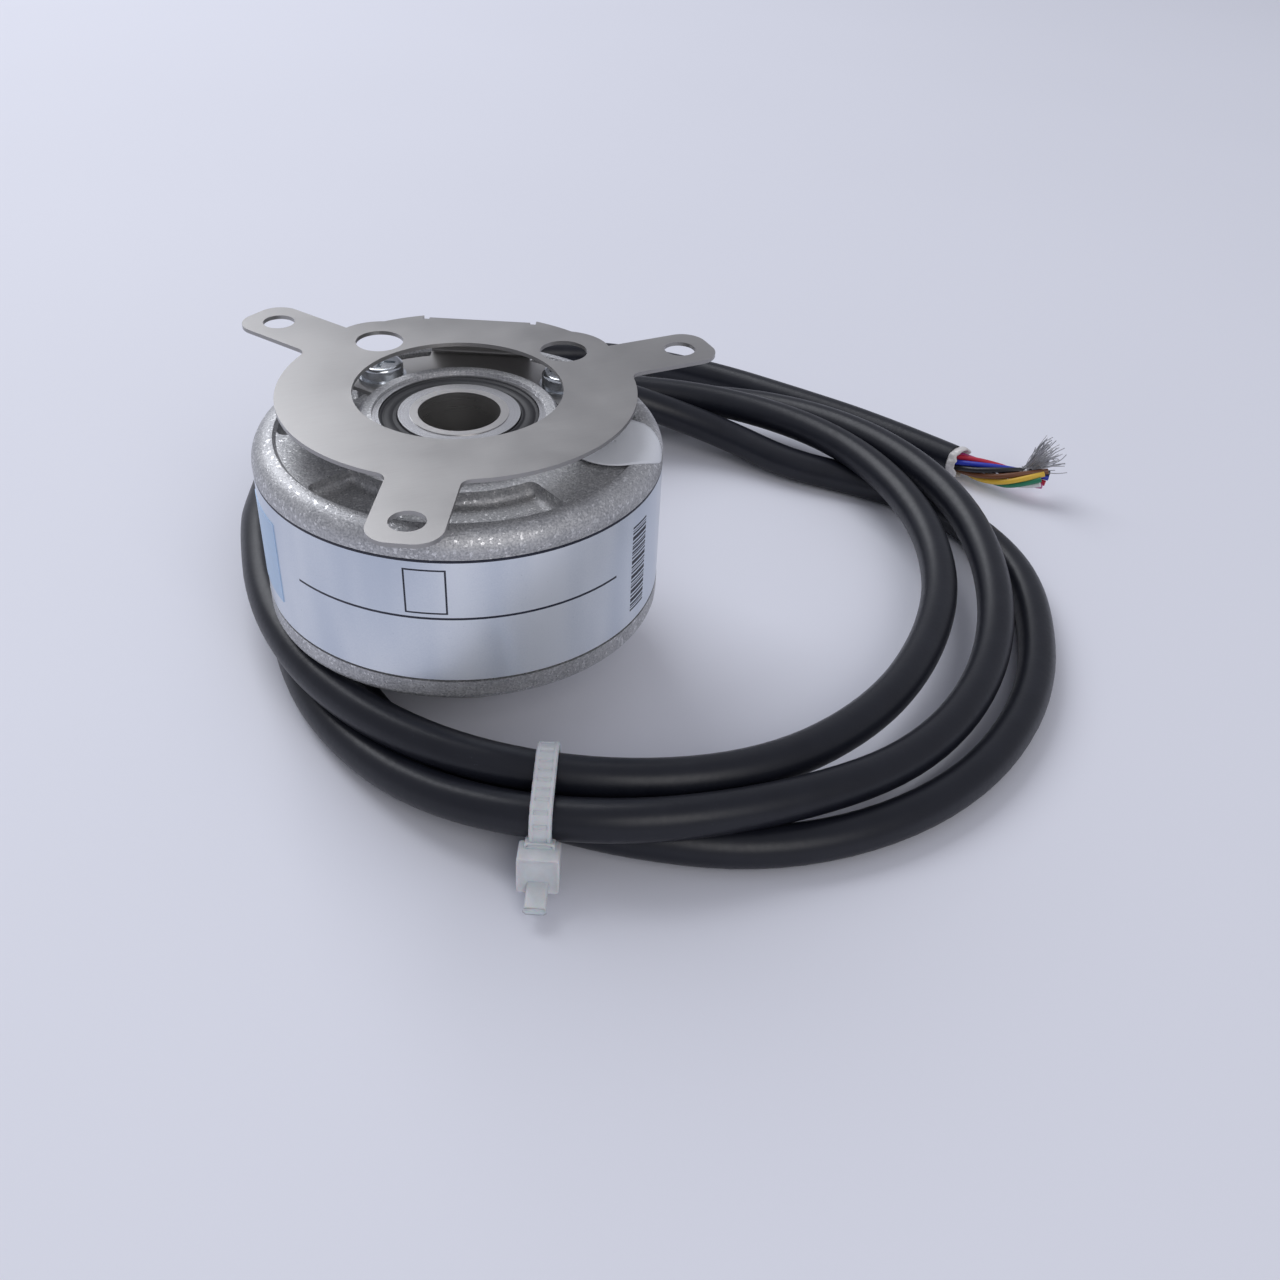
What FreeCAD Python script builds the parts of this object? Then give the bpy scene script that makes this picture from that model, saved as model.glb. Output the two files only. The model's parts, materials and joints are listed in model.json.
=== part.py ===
"""Hollow-shaft rotary encoder on its clamp collar, ringed by three loose loops of its own cable.

Millimetres, +Z up along the shaft. The origin is the centre of the hollow shaft's lower end,
which is level with the collar's foot and with the surface that the encoder stands on.
The cable leaves at +Y, and one ear of the spring plate points to -Y.
"""
import FreeCAD, Part
import math
import os

V = FreeCAD.Vector
X_AXIS = V(1, 0, 0)
Y_AXIS = V(0, 1, 0)
Z_AXIS = V(0, 0, 1)

# ---- running and seating clearances ----
RUN_GAP = 0.05            # radial gap of a seal or sleeve round a turning part
BALL_GAP = 0.035          # ball to race and ball to cage pocket
SCREW_GAP = 0.2           # clearance hole over a screw's shank, radial
DISC_GAP = 0.5            # air above the scanning mask

# ---- shaft and bearings ----
BORE_R = 5.0
SHAFT_R = 6.0
SHAFT_LEN = 35.3
SHAFT_SLITS = 3
SLIT_W = 0.8
BEARING_R = 10.5
BEARING_W = 5.0
RACE_IN_R = 7.4           # outside of the inner ring
RACE_OUT_R = 9.15         # inside of the outer ring
SEAL_SEAT_R = 9.7         # rebate in the outer ring that holds the seal
SEAL_T = 0.35
SEAL_DEPTH = 0.2          # seal below the bearing's face
BALL_R = 1.19
BALL_COUNT = 13
CAGE_T = 0.7
CAGE_HALF_H = 1.55
FRONT_BEARING_TOP = 35.2
BEARING_SHOULDER = 3.2    # housing land between the two bearings
SHOULDER_R = 9.6
SPACER_R = 7.2

# ---- housing ----
BODY_R = 25.0
BODY_BOTTOM = 10.5
COVER_T = 2.8
GASKET_T = 0.2
WALL_T = 2.7
TOP_UNDER = 29.0          # underside of the housing's top wall
RIM_TOP = 33.4
RIM_ROUND = 2.6
RIM_IN_R = 21.9
LEDGE_TOP = 33.0          # webs between the pockets, and the screw bosses
POCKET_FLOOR = 31.2
POCKET_IN_R = 15.2
POCKET_HALF_ANGLE = 43.0
POCKET_ROUND = 1.1
BOSS_R = 12.05
BOSS_TOP = 35.5
TUBE_R = 12.4             # bearing tube inside the housing
EDGE_CHAMFER = 0.5

# ---- label and stickers ----
LABEL_BOTTOM = 13.6
LABEL_TOP = 30.2
LABEL_T = 0.12
LABEL_RECESS = 0.15
LABEL_GAP_ANGLE = 70.0    # part of the circumference left bare, round the cable exit
STICKER_R = 5.9
STICKER_T = 0.1
STICKER_AT = (18.7, -1.7)
PATCH_ANGLE = -152.0
PATCH_SPAN = 20.0
PATCH_BOTTOM = 16.5
PATCH_TOP = 27.5

# ---- spring plate ----
PLATE_T = 0.5
PLATE_TOP = 38.4
PLATE_R = 21.5
PLATE_HOLE_R = 12.6
EAR_ANGLES = (-91.7, 28.3, 148.3)
EAR_PITCH_R = 30.0
EAR_HOLE_R = 2.0
EAR_HALF_W = 4.1
EAR_TIP_R = 34.2
EAR_CORNER_R = 3.0
EAR_ROOT_R = 1.5
FOLD_HALF_W = 6.6
FOLD_Y = 20.4
FOLD_BEND_R = 0.9
FOOT_IN_R = 13.2
FOOT_OUT_R = 19.6
FOOT_ANGLES = (30.0, 150.0)
COUPLING_SCREW_X = 11.7
COUPLING_SCREW_Y = 11.7
ACCESS_HOLE_R = 3.0
ACCESS_LOBE_R = 6.0
SCREW_BOSS_R = 3.4

# ---- screws: (thread radius, head radius, head height) ----
M3_PAN = (1.5, 2.75, 1.7)
M3_SOCKET = (1.5, 2.75, 3.0)
M25_PAN = (1.25, 2.2, 1.4)
M2_PAN = (1.0, 1.9, 1.2)
WASHER_T = 0.4
WASHER_R = 3.1
COUPLING_SCREW_LEN = 5.0

# ---- rear cover and its screws ----
COVER_HOLE_R = 7.6
COVER_SEAL_H = 1.8
COVER_SCREW_ANGLES = (30.0, 150.0, 270.0)
COVER_SCREW_PITCH_R = 20.6
COVER_BOSS_R = 2.35
COVER_SCREW_LEN = 7.0
LOCATING_RING_W = 0.6
LOCATING_RING_H = 1.1

# ---- clamp collar ----
COLLAR_R = 12.5
COLLAR_H = 9.7
COLLAR_SLIT = 1.2
COLLAR_SCREW_X = 9.3
COLLAR_HEAD_Y = 3.6
COLLAR_SCREW_LEN = 9.5

# ---- optics and board ----
BOARD_R = 21.5
BOARD_T = 1.2
BOARD_HOLE_R = 8.0
BOARD_LIFT = 1.2          # board above the cover's inner face
BOARD_SCREW_ANGLES = (60.0, 180.0, 300.0)
BOARD_SCREW_PITCH_R = 17.5
BOARD_POST_R = 2.2
SENSOR_SIZE = (6.0, 4.6, 0.9)
SENSOR_AT_R = 14.0
MASK_T = 0.3
DISC_R = 17.0
DISC_T = 0.4
HUB_R = 9.6
HUB_SLEEVE_R = 7.6
HUB_FLANGE_T = 1.1
HUB_H = 3.0
CLIP_T = 0.7
CLIP_GROOVE = 0.25
CLIP_R = 7.3
LAMP_R = 1.6
LAMP_H = 1.9
LAMP_HOLDER_W = 7.0
LAMP_HOLDER_TOP = 21.7
CHIPS = ((-13.0, -4.5, 6.0, 5.0, 1.4), (-4.0, -13.0, 7.5, 4.4, 1.3),
         (3.2, -12.0, 3.4, 3.4, 1.1), (-12.5, 6.5, 3.0, 5.0, 1.0))

# ---- cable exit ----
EXIT_Z = 19.0
EXIT_BOSS_R = 5.4
EXIT_FACE_Y = 26.0
GLAND_SPIGOT_R = 3.9
GLAND_COLLAR_R = 5.1
GLAND_COLLAR_L = 2.4
GLAND_STUB_R = 4.1
GLAND_STUB_L = 4.2
NUT_R = 5.3
NUT_L = 6.4
NUT_LIP = 1.2
SEAL_SLEEVE_L = 1.6
JACKET_IN_Y = 21.4        # where the jacket ends inside the housing
NUT_STAND_OFF = 0.4       # nut short of the gland's collar
NUT_END_Y = EXIT_FACE_Y + GLAND_COLLAR_L + NUT_STAND_OFF + NUT_L
LEAD_COUNT = 8
LEAD_R = 0.42
LEAD_PITCH = 1.0
TERMINAL_SIZE = (9.0, 2.2, 1.6)

# ---- cable ----
CABLE_R = 2.5
COIL_CENTRE = (20.0, 14.0)
COIL_H = 10.0
# Outer and inner edge of the loops, as radii about the coil's centre, every 22.5 degrees
# from +X, going anticlockwise.
COIL_OUTER = (61.3, 58.2, 58.1, 57.0, 55.4, 51.9, 51.2, 52.0,
              53.8, 51.5, 51.4, 55.0, 57.4, 59.1, 61.7, 62.2)
COIL_INNER = (42.7, 44.2, 44.6, 46.0, 45.9, 46.0, 41.8, 39.2,
              38.5, 38.6, 40.6, 44.2, 45.7, 45.1, 42.8, 41.6)
LEAD_ROUTE = ((0.0, NUT_END_Y, EXIT_Z), (0.3, 43.5, 18.3), (4.5, 52.0, 15.0), (13.5, 57.0, 10.8),
              (25.0, 57.6, 7.2), (36.2, 54.6, 4.6), (46.0, 48.9, 3.0))
TAIL_ROUTE = ((-33.4, 22.0, 6.6), (-34.6, 38.0, 5.9), (-30.6, 56.0, 4.6), (-20.6, 73.0, 3.4),
              (-4.6, 84.6, 2.8), (14.2, 87.6, 2.6), (33.0, 81.6, 2.6), (49.2, 72.2, 2.6),
              (62.6, 63.8, 2.6), (74.3, 54.0, 2.6))
RUN_SHARE = 0.45          # share of the shorter run that each bend may use

# ---- tie and stripped end ----
TIE_X = (12.5, 15.0)
TIE_Y = (-44.8, -30.2)
TIE_TOP = 11.8
TIE_T = 1.0
TIE_ROUND = 3.4
TIE_HEAD = (4.6, 3.8, 4.6)
TIE_TAIL = (2.5, 3.4, 1.0)
FOIL_L = 2.2
FOIL_TIP_R = 2.55
CORE_COUNT = 8
CORE_R = 0.45
CORE_RING_R = 1.45
CORE_SPREAD = 1.25
CORE_ROUTE = ((74.3, 54.0, 2.6), (79.2, 50.4, 2.7), (84.0, 47.6, 3.0), (88.0, 46.6, 3.6))
BRAID_START = (89.6, 48.6, 4.6)
BRAID_END = (93.2, 52.8, 7.4)
BRAID_R = (1.0, 3.2)

# ---- sizes worked out from the above ----
COVER_TOP = BODY_BOTTOM + COVER_T
HOUSING_BOTTOM = COVER_TOP + GASKET_T
CAVITY_R = BODY_R - WALL_T
LABEL_SEAT_R = BODY_R - LABEL_RECESS
FRONT_BEARING_Z = FRONT_BEARING_TOP - BEARING_W
REAR_BEARING_TOP = FRONT_BEARING_Z - BEARING_SHOULDER
REAR_BEARING_Z = REAR_BEARING_TOP - BEARING_W
PITCH_R = (RACE_IN_R + RACE_OUT_R) / 2
RACE_GROOVE_R = BALL_R + BALL_GAP
BOARD_Z = COVER_TOP + BOARD_LIFT
BOARD_TOP = BOARD_Z + BOARD_T
SENSOR_TOP = BOARD_TOP + SENSOR_SIZE[2]
MASK_TOP = SENSOR_TOP + MASK_T
DISC_Z = MASK_TOP + DISC_GAP
HUB_Z = DISC_Z + DISC_T
CLIP_Z = REAR_BEARING_Z - CLIP_T
PLATE_UNDER = PLATE_TOP - PLATE_T
FOOT_TOP = LEDGE_TOP + PLATE_T
CABLE_D = 2 * CABLE_R


# ---- shape helpers ----
def cylinder(radius, z0, z1, x=0.0, y=0.0):
    return Part.makeCylinder(radius, z1 - z0, V(x, y, z0), Z_AXIS)


def rod(radius, start, end):
    direction = end.sub(start)
    return Part.makeCylinder(radius, direction.Length, start, direction)


def ring(outer, inner, z0, z1, x=0.0, y=0.0):
    return cylinder(outer, z0, z1, x, y).cut(cylinder(inner, z0 - 1, z1 + 1, x, y))


def box(x0, x1, y0, y1, z0, z1):
    return Part.makeBox(x1 - x0, y1 - y0, z1 - z0, V(x0, y0, z0))


def polar(radius, degrees, z=0.0):
    angle = math.radians(degrees)
    return V(radius * math.cos(angle), radius * math.sin(angle), z)


def turned(shape, degrees):
    copy = shape.copy()
    copy.rotate(V(0, 0, 0), Z_AXIS, degrees)
    return copy


def moved(shape, offset):
    copy = shape.copy()
    copy.translate(offset)
    return copy


def revolved(profile, degrees=360.0, start=0.0):
    """Turns a closed list of (radius, z) corners about the Z axis."""
    corners = [V(r, 0, z) for r, z in profile]
    face = Part.Face(Part.makePolygon(corners + corners[:1]))
    solid = face.revolve(V(0, 0, 0), Z_AXIS, degrees)
    return turned(solid, start)


def sector(outer, inner, z0, z1, start, end):
    profile = ((inner, z0), (outer, z0), (outer, z1), (inner, z1))
    return revolved(profile, end - start, start)


def hexagon(radius, start, length, direction):
    """Six-sided bar; radius is to the flats."""
    corner = radius / math.cos(math.radians(30))
    points = [V(corner * math.cos(math.radians(60 * i)), corner * math.sin(math.radians(60 * i)), 0)
              for i in range(7)]
    bar = Part.Face(Part.makePolygon(points)).extrude(V(0, 0, length))
    bar.Placement = FreeCAD.Placement(start, FreeCAD.Rotation(Z_AXIS, direction))
    return bar


def union(shapes):
    first = shapes[0]
    if len(shapes) == 1:
        return first
    return first.multiFuse(list(shapes[1:])).removeSplitter()


def group(solids):
    return Part.makeCompound(list(solids))


def edges_where(shape, test):
    return [edge for edge in shape.Edges if test(edge)]


def screw(size, seat, length, direction, cross=True):
    """Screw whose head sits on seat; the shank runs along direction, the head stands behind."""
    thread_r, head_r, head_h = size
    back = V(direction).multiply(-head_h)
    shank = rod(thread_r, seat, seat.add(V(direction).multiply(length)))
    head = rod(head_r, seat.add(back), seat)
    rim = edges_where(head, lambda e: e.Closed and e.CenterOfMass.distanceToPoint(seat.add(back)) < 0.01)
    head = head.makeFillet(head_h * 0.3, rim)
    body = head.fuse(shank)
    top = seat.add(back)
    if cross:
        slot = Part.makeBox(head_r * 1.3, head_h * 0.36, head_h * 1.0)
        slot.translate(V(-head_r * 0.65, -head_h * 0.18, -head_h * 0.5))
        other = turned(slot, 90)
        for tool in (slot, other):
            tool.Placement = FreeCAD.Placement(top, FreeCAD.Rotation(Z_AXIS, direction)).multiply(tool.Placement)
            body = body.cut(tool)
    else:
        socket = hexagon(head_r * 0.45, top.add(V(direction).multiply(-0.1)), head_h * 0.5, direction)
        body = body.cut(socket)
    return body.removeSplitter()


# ---- bearings ----
def bearing_parts(z0):
    """Outer ring, inner ring, balls, cage and two seals of one bearing that stands on z0."""
    z1 = z0 + BEARING_W
    mid = (z0 + z1) / 2
    groove = Part.makeTorus(PITCH_R, RACE_GROOVE_R, V(0, 0, mid), Z_AXIS)
    rebate = SEAL_DEPTH + SEAL_T
    outer = ring(BEARING_R, RACE_OUT_R, z0, z1).cut(groove)
    outer = outer.cut(cylinder(SEAL_SEAT_R, z1 - rebate, z1 + 1))
    outer = outer.cut(cylinder(SEAL_SEAT_R, z0 - 1, z0 + rebate))
    inner = ring(RACE_IN_R, SHAFT_R, z0, z1).cut(groove)
    centres = [polar(PITCH_R, 360.0 * i / BALL_COUNT, mid) for i in range(BALL_COUNT)]
    balls = [Part.makeSphere(BALL_R, centre) for centre in centres]
    pockets = [rod(RACE_GROOVE_R, V(0, 0, mid), centre.add(centre).sub(V(0, 0, mid))) for centre in centres]
    cage = ring(PITCH_R + CAGE_T / 2, PITCH_R - CAGE_T / 2, mid - CAGE_HALF_H, mid + CAGE_HALF_H)
    for pocket in pockets:
        cage = cage.cut(pocket)
    seal_in = RACE_IN_R + RUN_GAP
    top_seal = ring(SEAL_SEAT_R, seal_in, z1 - rebate, z1 - SEAL_DEPTH)
    low_seal = ring(SEAL_SEAT_R, seal_in, z0 + SEAL_DEPTH, z0 + rebate)
    return outer, inner, group(balls), cage, group([top_seal, low_seal])


# ---- rotor ----
def hollow_shaft():
    shaft = ring(SHAFT_R, BORE_R, 0, SHAFT_LEN)
    for i in range(SHAFT_SLITS):
        slit = box(BORE_R - 1, SHAFT_R + 1, -SLIT_W / 2, SLIT_W / 2, -1, COLLAR_H - 1)
        shaft = shaft.cut(turned(slit, 60 + 360.0 * i / SHAFT_SLITS))
    groove = ring(SHAFT_R + 1, SHAFT_R - CLIP_GROOVE, CLIP_Z, CLIP_Z + CLIP_T)
    return shaft.cut(groove)


def retaining_ring():
    clip = ring(CLIP_R, SHAFT_R - CLIP_GROOVE, CLIP_Z, CLIP_Z + CLIP_T)
    return clip.cut(box(0, CLIP_R + 1, -1.5, 1.5, CLIP_Z - 1, CLIP_Z + CLIP_T + 1))


def inner_spacer():
    return ring(SPACER_R, SHAFT_R, REAR_BEARING_TOP, FRONT_BEARING_Z)


def disc_hub():
    flange = ring(HUB_R, SHAFT_R, HUB_Z, HUB_Z + HUB_FLANGE_T)
    sleeve = ring(HUB_SLEEVE_R, SHAFT_R, HUB_Z, HUB_Z + HUB_H)
    return union([flange, sleeve])


def code_disc():
    return ring(DISC_R, SHAFT_R + 0.4, DISC_Z, DISC_Z + DISC_T)


def clamp_collar():
    collar = ring(COLLAR_R, SHAFT_R, 0, COLLAR_H)
    rims = edges_where(collar, lambda e: e.Closed and e.Length > 2 * math.pi * (COLLAR_R - 0.1))
    collar = collar.makeChamfer(EDGE_CHAMFER, rims)
    collar = collar.cut(box(BORE_R, COLLAR_R + 1, -COLLAR_SLIT / 2, COLLAR_SLIT / 2, -1, COLLAR_H + 1))
    mid = COLLAR_H / 2
    seat = V(COLLAR_SCREW_X, COLLAR_HEAD_Y, mid)
    far = V(COLLAR_SCREW_X, -COLLAR_R, mid)
    slit_wall = V(COLLAR_SCREW_X, 0, mid)
    collar = collar.cut(rod(M3_SOCKET[1] + SCREW_GAP, seat, V(COLLAR_SCREW_X, COLLAR_R, mid)))
    collar = collar.cut(rod(M3_SOCKET[0] + SCREW_GAP, slit_wall, seat))
    return collar.cut(rod(M3_SOCKET[0], far, slit_wall))


def collar_screw():
    seat = V(COLLAR_SCREW_X, COLLAR_HEAD_Y, COLLAR_H / 2)
    return screw(M3_SOCKET, seat, COLLAR_SCREW_LEN, V(0, -1, 0), cross=False)


# ---- housing ----
def pocket_tool():
    """One of the three shallow pockets round the bearing boss, centred on +X."""
    tool = sector(RIM_IN_R, POCKET_IN_R, POCKET_FLOOR, LEDGE_TOP + 3,
                  -POCKET_HALF_ANGLE, POCKET_HALF_ANGLE)
    low = edges_where(tool, lambda e: abs(e.BoundBox.ZMax - POCKET_FLOOR) < 0.01)
    upright = edges_where(tool, lambda e: e.BoundBox.ZLength > 1 and e.BoundBox.XLength < 0.01)
    return tool.makeFillet(POCKET_ROUND, low + upright)


def housing_shell():
    """Cast cup with a rounded rim, a stepped top and the bearing tube."""
    arc_centre_r = BODY_R - RIM_ROUND
    arc_centre_z = RIM_TOP - RIM_ROUND
    start = V(BODY_R, 0, arc_centre_z)
    middle = V(arc_centre_r + RIM_ROUND * math.cos(math.radians(45)), 0,
               arc_centre_z + RIM_ROUND * math.sin(math.radians(45)))
    end = V(arc_centre_r, 0, RIM_TOP)
    outside = [V(CAVITY_R, 0, HOUSING_BOTTOM), V(LABEL_SEAT_R, 0, HOUSING_BOTTOM),
               V(LABEL_SEAT_R, 0, LABEL_TOP + 0.1), V(BODY_R, 0, LABEL_TOP + 0.1), start]
    inside = [end, V(RIM_IN_R + 0.4, 0, RIM_TOP), V(RIM_IN_R, 0, LEDGE_TOP), V(BOSS_R + 0.9, 0, LEDGE_TOP),
              V(BOSS_R, 0, LEDGE_TOP + 0.9), V(BOSS_R, 0, BOSS_TOP - 0.4), V(BOSS_R - 0.4, 0, BOSS_TOP),
              V(BEARING_R, 0, BOSS_TOP), V(BEARING_R, 0, FRONT_BEARING_Z), V(SHOULDER_R, 0, FRONT_BEARING_Z),
              V(SHOULDER_R, 0, REAR_BEARING_TOP), V(BEARING_R, 0, REAR_BEARING_TOP),
              V(BEARING_R, 0, REAR_BEARING_Z), V(TUBE_R, 0, REAR_BEARING_Z),
              V(TUBE_R, 0, TOP_UNDER), V(CAVITY_R, 0, TOP_UNDER), V(CAVITY_R, 0, HOUSING_BOTTOM)]
    lines = Part.makePolygon(outside).Edges
    lines.append(Part.Arc(start, middle, end).toShape())
    lines += Part.makePolygon(inside).Edges
    return Part.Face(Part.Wire(lines)).revolve(V(0, 0, 0), Z_AXIS, 360)


def housing_body():
    shell = housing_shell()
    for angle in EAR_ANGLES:
        shell = shell.cut(turned(pocket_tool(), angle))
    added = [shell]
    for side in (-1, 1):
        added.append(cylinder(SCREW_BOSS_R, TOP_UNDER, LEDGE_TOP, side * COUPLING_SCREW_X, COUPLING_SCREW_Y))
    for angle in COVER_SCREW_ANGLES:
        at = polar(COVER_SCREW_PITCH_R, angle)
        column = cylinder(COVER_BOSS_R, HOUSING_BOTTOM, TOP_UNDER + 0.5, at.x, at.y)
        added.append(column.common(cylinder(CAVITY_R + 1, HOUSING_BOTTOM, TOP_UNDER + 1)))
    exit_boss = rod(EXIT_BOSS_R, V(0, CAVITY_R + 0.2, EXIT_Z), V(0, EXIT_FACE_Y, EXIT_Z))
    added.append(exit_boss)
    body = union(added)
    body = body.cut(rod(GLAND_SPIGOT_R, V(0, CAVITY_R - 3, EXIT_Z), V(0, EXIT_FACE_Y + 1, EXIT_Z)))
    for side in (-1, 1):
        body = body.cut(cylinder(M3_PAN[0], FOOT_TOP - COUPLING_SCREW_LEN, LEDGE_TOP + 1,
                                 side * COUPLING_SCREW_X, COUPLING_SCREW_Y))
    for angle in COVER_SCREW_ANGLES:
        at = polar(COVER_SCREW_PITCH_R, angle)
        body = body.cut(cylinder(M25_PAN[0], HOUSING_BOTTOM - 1,
                                 BODY_BOTTOM + COVER_SCREW_LEN + 0.6, at.x, at.y))
    return body


def cover_gasket():
    gasket = ring(LABEL_SEAT_R - 0.3, CAVITY_R + 0.1, COVER_TOP, HOUSING_BOTTOM)
    lobes = []
    for angle in COVER_SCREW_ANGLES:
        at = polar(COVER_SCREW_PITCH_R, angle)
        lobes.append(cylinder(COVER_BOSS_R, COVER_TOP, HOUSING_BOTTOM, at.x, at.y))
    lobes = [lobe.common(cylinder(LABEL_SEAT_R - 0.3, COVER_TOP, HOUSING_BOTTOM)) for lobe in lobes]
    gasket = union([gasket] + lobes)
    for angle in COVER_SCREW_ANGLES:
        at = polar(COVER_SCREW_PITCH_R, angle)
        gasket = gasket.cut(cylinder(M25_PAN[0] + SCREW_GAP, COVER_TOP - 1, HOUSING_BOTTOM + 1, at.x, at.y))
    return gasket


def rear_cover():
    plate = cylinder(BODY_R, BODY_BOTTOM, COVER_TOP)
    low_rim = edges_where(plate, lambda e: e.Closed and abs(e.CenterOfMass.z - BODY_BOTTOM) < 0.01)
    plate = plate.makeFillet(EDGE_CHAMFER + 0.4, low_rim)
    locator = ring(CAVITY_R - 0.1, CAVITY_R - 0.1 - LOCATING_RING_W, COVER_TOP, COVER_TOP + LOCATING_RING_H)
    for angle in COVER_SCREW_ANGLES:
        at = polar(COVER_SCREW_PITCH_R, angle)
        locator = locator.cut(cylinder(COVER_BOSS_R + 0.3, COVER_TOP - 1, BOARD_Z, at.x, at.y))
    exit_slot = box(-EXIT_BOSS_R, EXIT_BOSS_R, CAVITY_R - 3, CAVITY_R + 1, COVER_TOP, COVER_TOP + 5)
    parts = [plate, locator.cut(exit_slot)]
    for angle in BOARD_SCREW_ANGLES:
        at = polar(BOARD_SCREW_PITCH_R, angle)
        parts.append(cylinder(BOARD_POST_R, COVER_TOP, BOARD_Z, at.x, at.y))
    cover = union(parts)
    cover = cover.cut(cylinder(COVER_HOLE_R, BODY_BOTTOM - 1, COVER_TOP + 1))
    for angle in BOARD_SCREW_ANGLES:
        at = polar(BOARD_SCREW_PITCH_R, angle)
        cover = cover.cut(cylinder(M2_PAN[0], BODY_BOTTOM + 1, BOARD_Z + 1, at.x, at.y))
    for angle in COVER_SCREW_ANGLES:
        at = polar(COVER_SCREW_PITCH_R, angle)
        cover = cover.cut(cylinder(M25_PAN[0] + SCREW_GAP, BODY_BOTTOM - 1, COVER_TOP + 1, at.x, at.y))
        cover = cover.cut(cylinder(M25_PAN[1] + SCREW_GAP, BODY_BOTTOM - 1, BODY_BOTTOM + M25_PAN[2] + 0.1,
                                   at.x, at.y))
    return cover


def cover_screws():
    screws = []
    for angle in COVER_SCREW_ANGLES:
        seat = polar(COVER_SCREW_PITCH_R, angle, BODY_BOTTOM + M25_PAN[2] + 0.1)
        screws.append(screw(M25_PAN, seat, COVER_SCREW_LEN - M25_PAN[2], V(0, 0, 1)))
    return group(screws)


def rear_seal():
    return ring(COVER_HOLE_R, SHAFT_R + RUN_GAP, COVER_TOP - COVER_SEAL_H, COVER_TOP)


# ---- label and stickers ----
def name_label():
    start = 90 + LABEL_GAP_ANGLE / 2
    end = 450 - LABEL_GAP_ANGLE / 2
    return sector(LABEL_SEAT_R + LABEL_T, LABEL_SEAT_R, LABEL_BOTTOM, LABEL_TOP, start, end)


def side_sticker():
    inner = LABEL_SEAT_R + LABEL_T
    return sector(inner + STICKER_T, inner, PATCH_BOTTOM, PATCH_TOP,
                  PATCH_ANGLE - PATCH_SPAN / 2, PATCH_ANGLE + PATCH_SPAN / 2)


def seal_sticker():
    disc = cylinder(STICKER_R, RIM_TOP, RIM_TOP + STICKER_T, STICKER_AT[0], STICKER_AT[1])
    return disc


# ---- spring plate ----
def ear_blank(angle):
    ear = box(PLATE_R - 6, EAR_TIP_R, -EAR_HALF_W, EAR_HALF_W, PLATE_UNDER, PLATE_TOP)
    tips = edges_where(ear, lambda e: e.BoundBox.ZLength > PLATE_T / 2 and e.CenterOfMass.x > EAR_TIP_R - 0.01)
    return turned(ear.makeFillet(EAR_CORNER_R, tips), angle)


def fold_strip():
    """Strip at the back that folds down from the plate and forward again into the foot."""
    def outline(y_end, z_low, z_high, radius):
        corner = radius * (1 - math.cos(math.radians(45)))
        low_mid = V(0, y_end - corner, z_low + corner)
        high_mid = V(0, y_end - corner, z_high - corner)
        front = FOOT_IN_R + 3.5
        a = V(0, front, z_low)
        b = V(0, y_end - radius, z_low)
        c = V(0, y_end, z_low + radius)
        d = V(0, y_end, z_high - radius)
        e = V(0, y_end - radius, z_high)
        f = V(0, front, z_high)
        edges = [Part.makeLine(a, b), Part.Arc(b, low_mid, c).toShape(), Part.makeLine(c, d),
                 Part.Arc(d, high_mid, e).toShape(), Part.makeLine(e, f), Part.makeLine(f, a)]
        return Part.Face(Part.Wire(edges)).extrude(V(2 * FOLD_HALF_W, 0, 0))
    outer = outline(FOLD_Y, LEDGE_TOP, PLATE_TOP, FOLD_BEND_R)
    inner = outline(FOLD_Y - PLATE_T, FOOT_TOP, PLATE_UNDER, FOLD_BEND_R - PLATE_T)
    return moved(outer.cut(inner), V(-FOLD_HALF_W, 0, 0))


def spring_plate():
    disc = cylinder(PLATE_R, PLATE_UNDER, PLATE_TOP)
    disc = disc.cut(box(-FOLD_HALF_W - 0.8, FOLD_HALF_W + 0.8, FOLD_Y - 1.2, PLATE_R + 1,
                        PLATE_UNDER - 1, PLATE_TOP + 1))
    upper = [disc] + [ear_blank(angle) for angle in EAR_ANGLES]
    for side in (-1, 1):
        upper.append(cylinder(ACCESS_LOBE_R, PLATE_UNDER, PLATE_TOP, side * COUPLING_SCREW_X, COUPLING_SCREW_Y))
    sheet = union(upper)
    roots = edges_where(sheet, lambda e: ear_root(e))
    sheet = sheet.makeFillet(EAR_ROOT_R, roots)
    foot = [sector(FOOT_OUT_R, FOOT_IN_R, LEDGE_TOP, FOOT_TOP, FOOT_ANGLES[0], FOOT_ANGLES[1])]
    for side in (-1, 1):
        foot.append(cylinder(SCREW_BOSS_R, LEDGE_TOP, FOOT_TOP, side * COUPLING_SCREW_X, COUPLING_SCREW_Y))
    plate = union([sheet, fold_strip()] + foot)
    plate = plate.cut(cylinder(PLATE_HOLE_R, LEDGE_TOP - 1, PLATE_TOP + 1))
    for angle in EAR_ANGLES:
        at = polar(EAR_PITCH_R, angle)
        plate = plate.cut(cylinder(EAR_HOLE_R, PLATE_UNDER - 1, PLATE_TOP + 1, at.x, at.y))
    for side in (-1, 1):
        x = side * COUPLING_SCREW_X
        plate = plate.cut(cylinder(ACCESS_HOLE_R, PLATE_UNDER - 1, PLATE_TOP + 1, x, COUPLING_SCREW_Y))
        plate = plate.cut(cylinder(M3_PAN[0] + SCREW_GAP, LEDGE_TOP - 1, FOOT_TOP + 1, x, COUPLING_SCREW_Y))
    return plate


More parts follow.
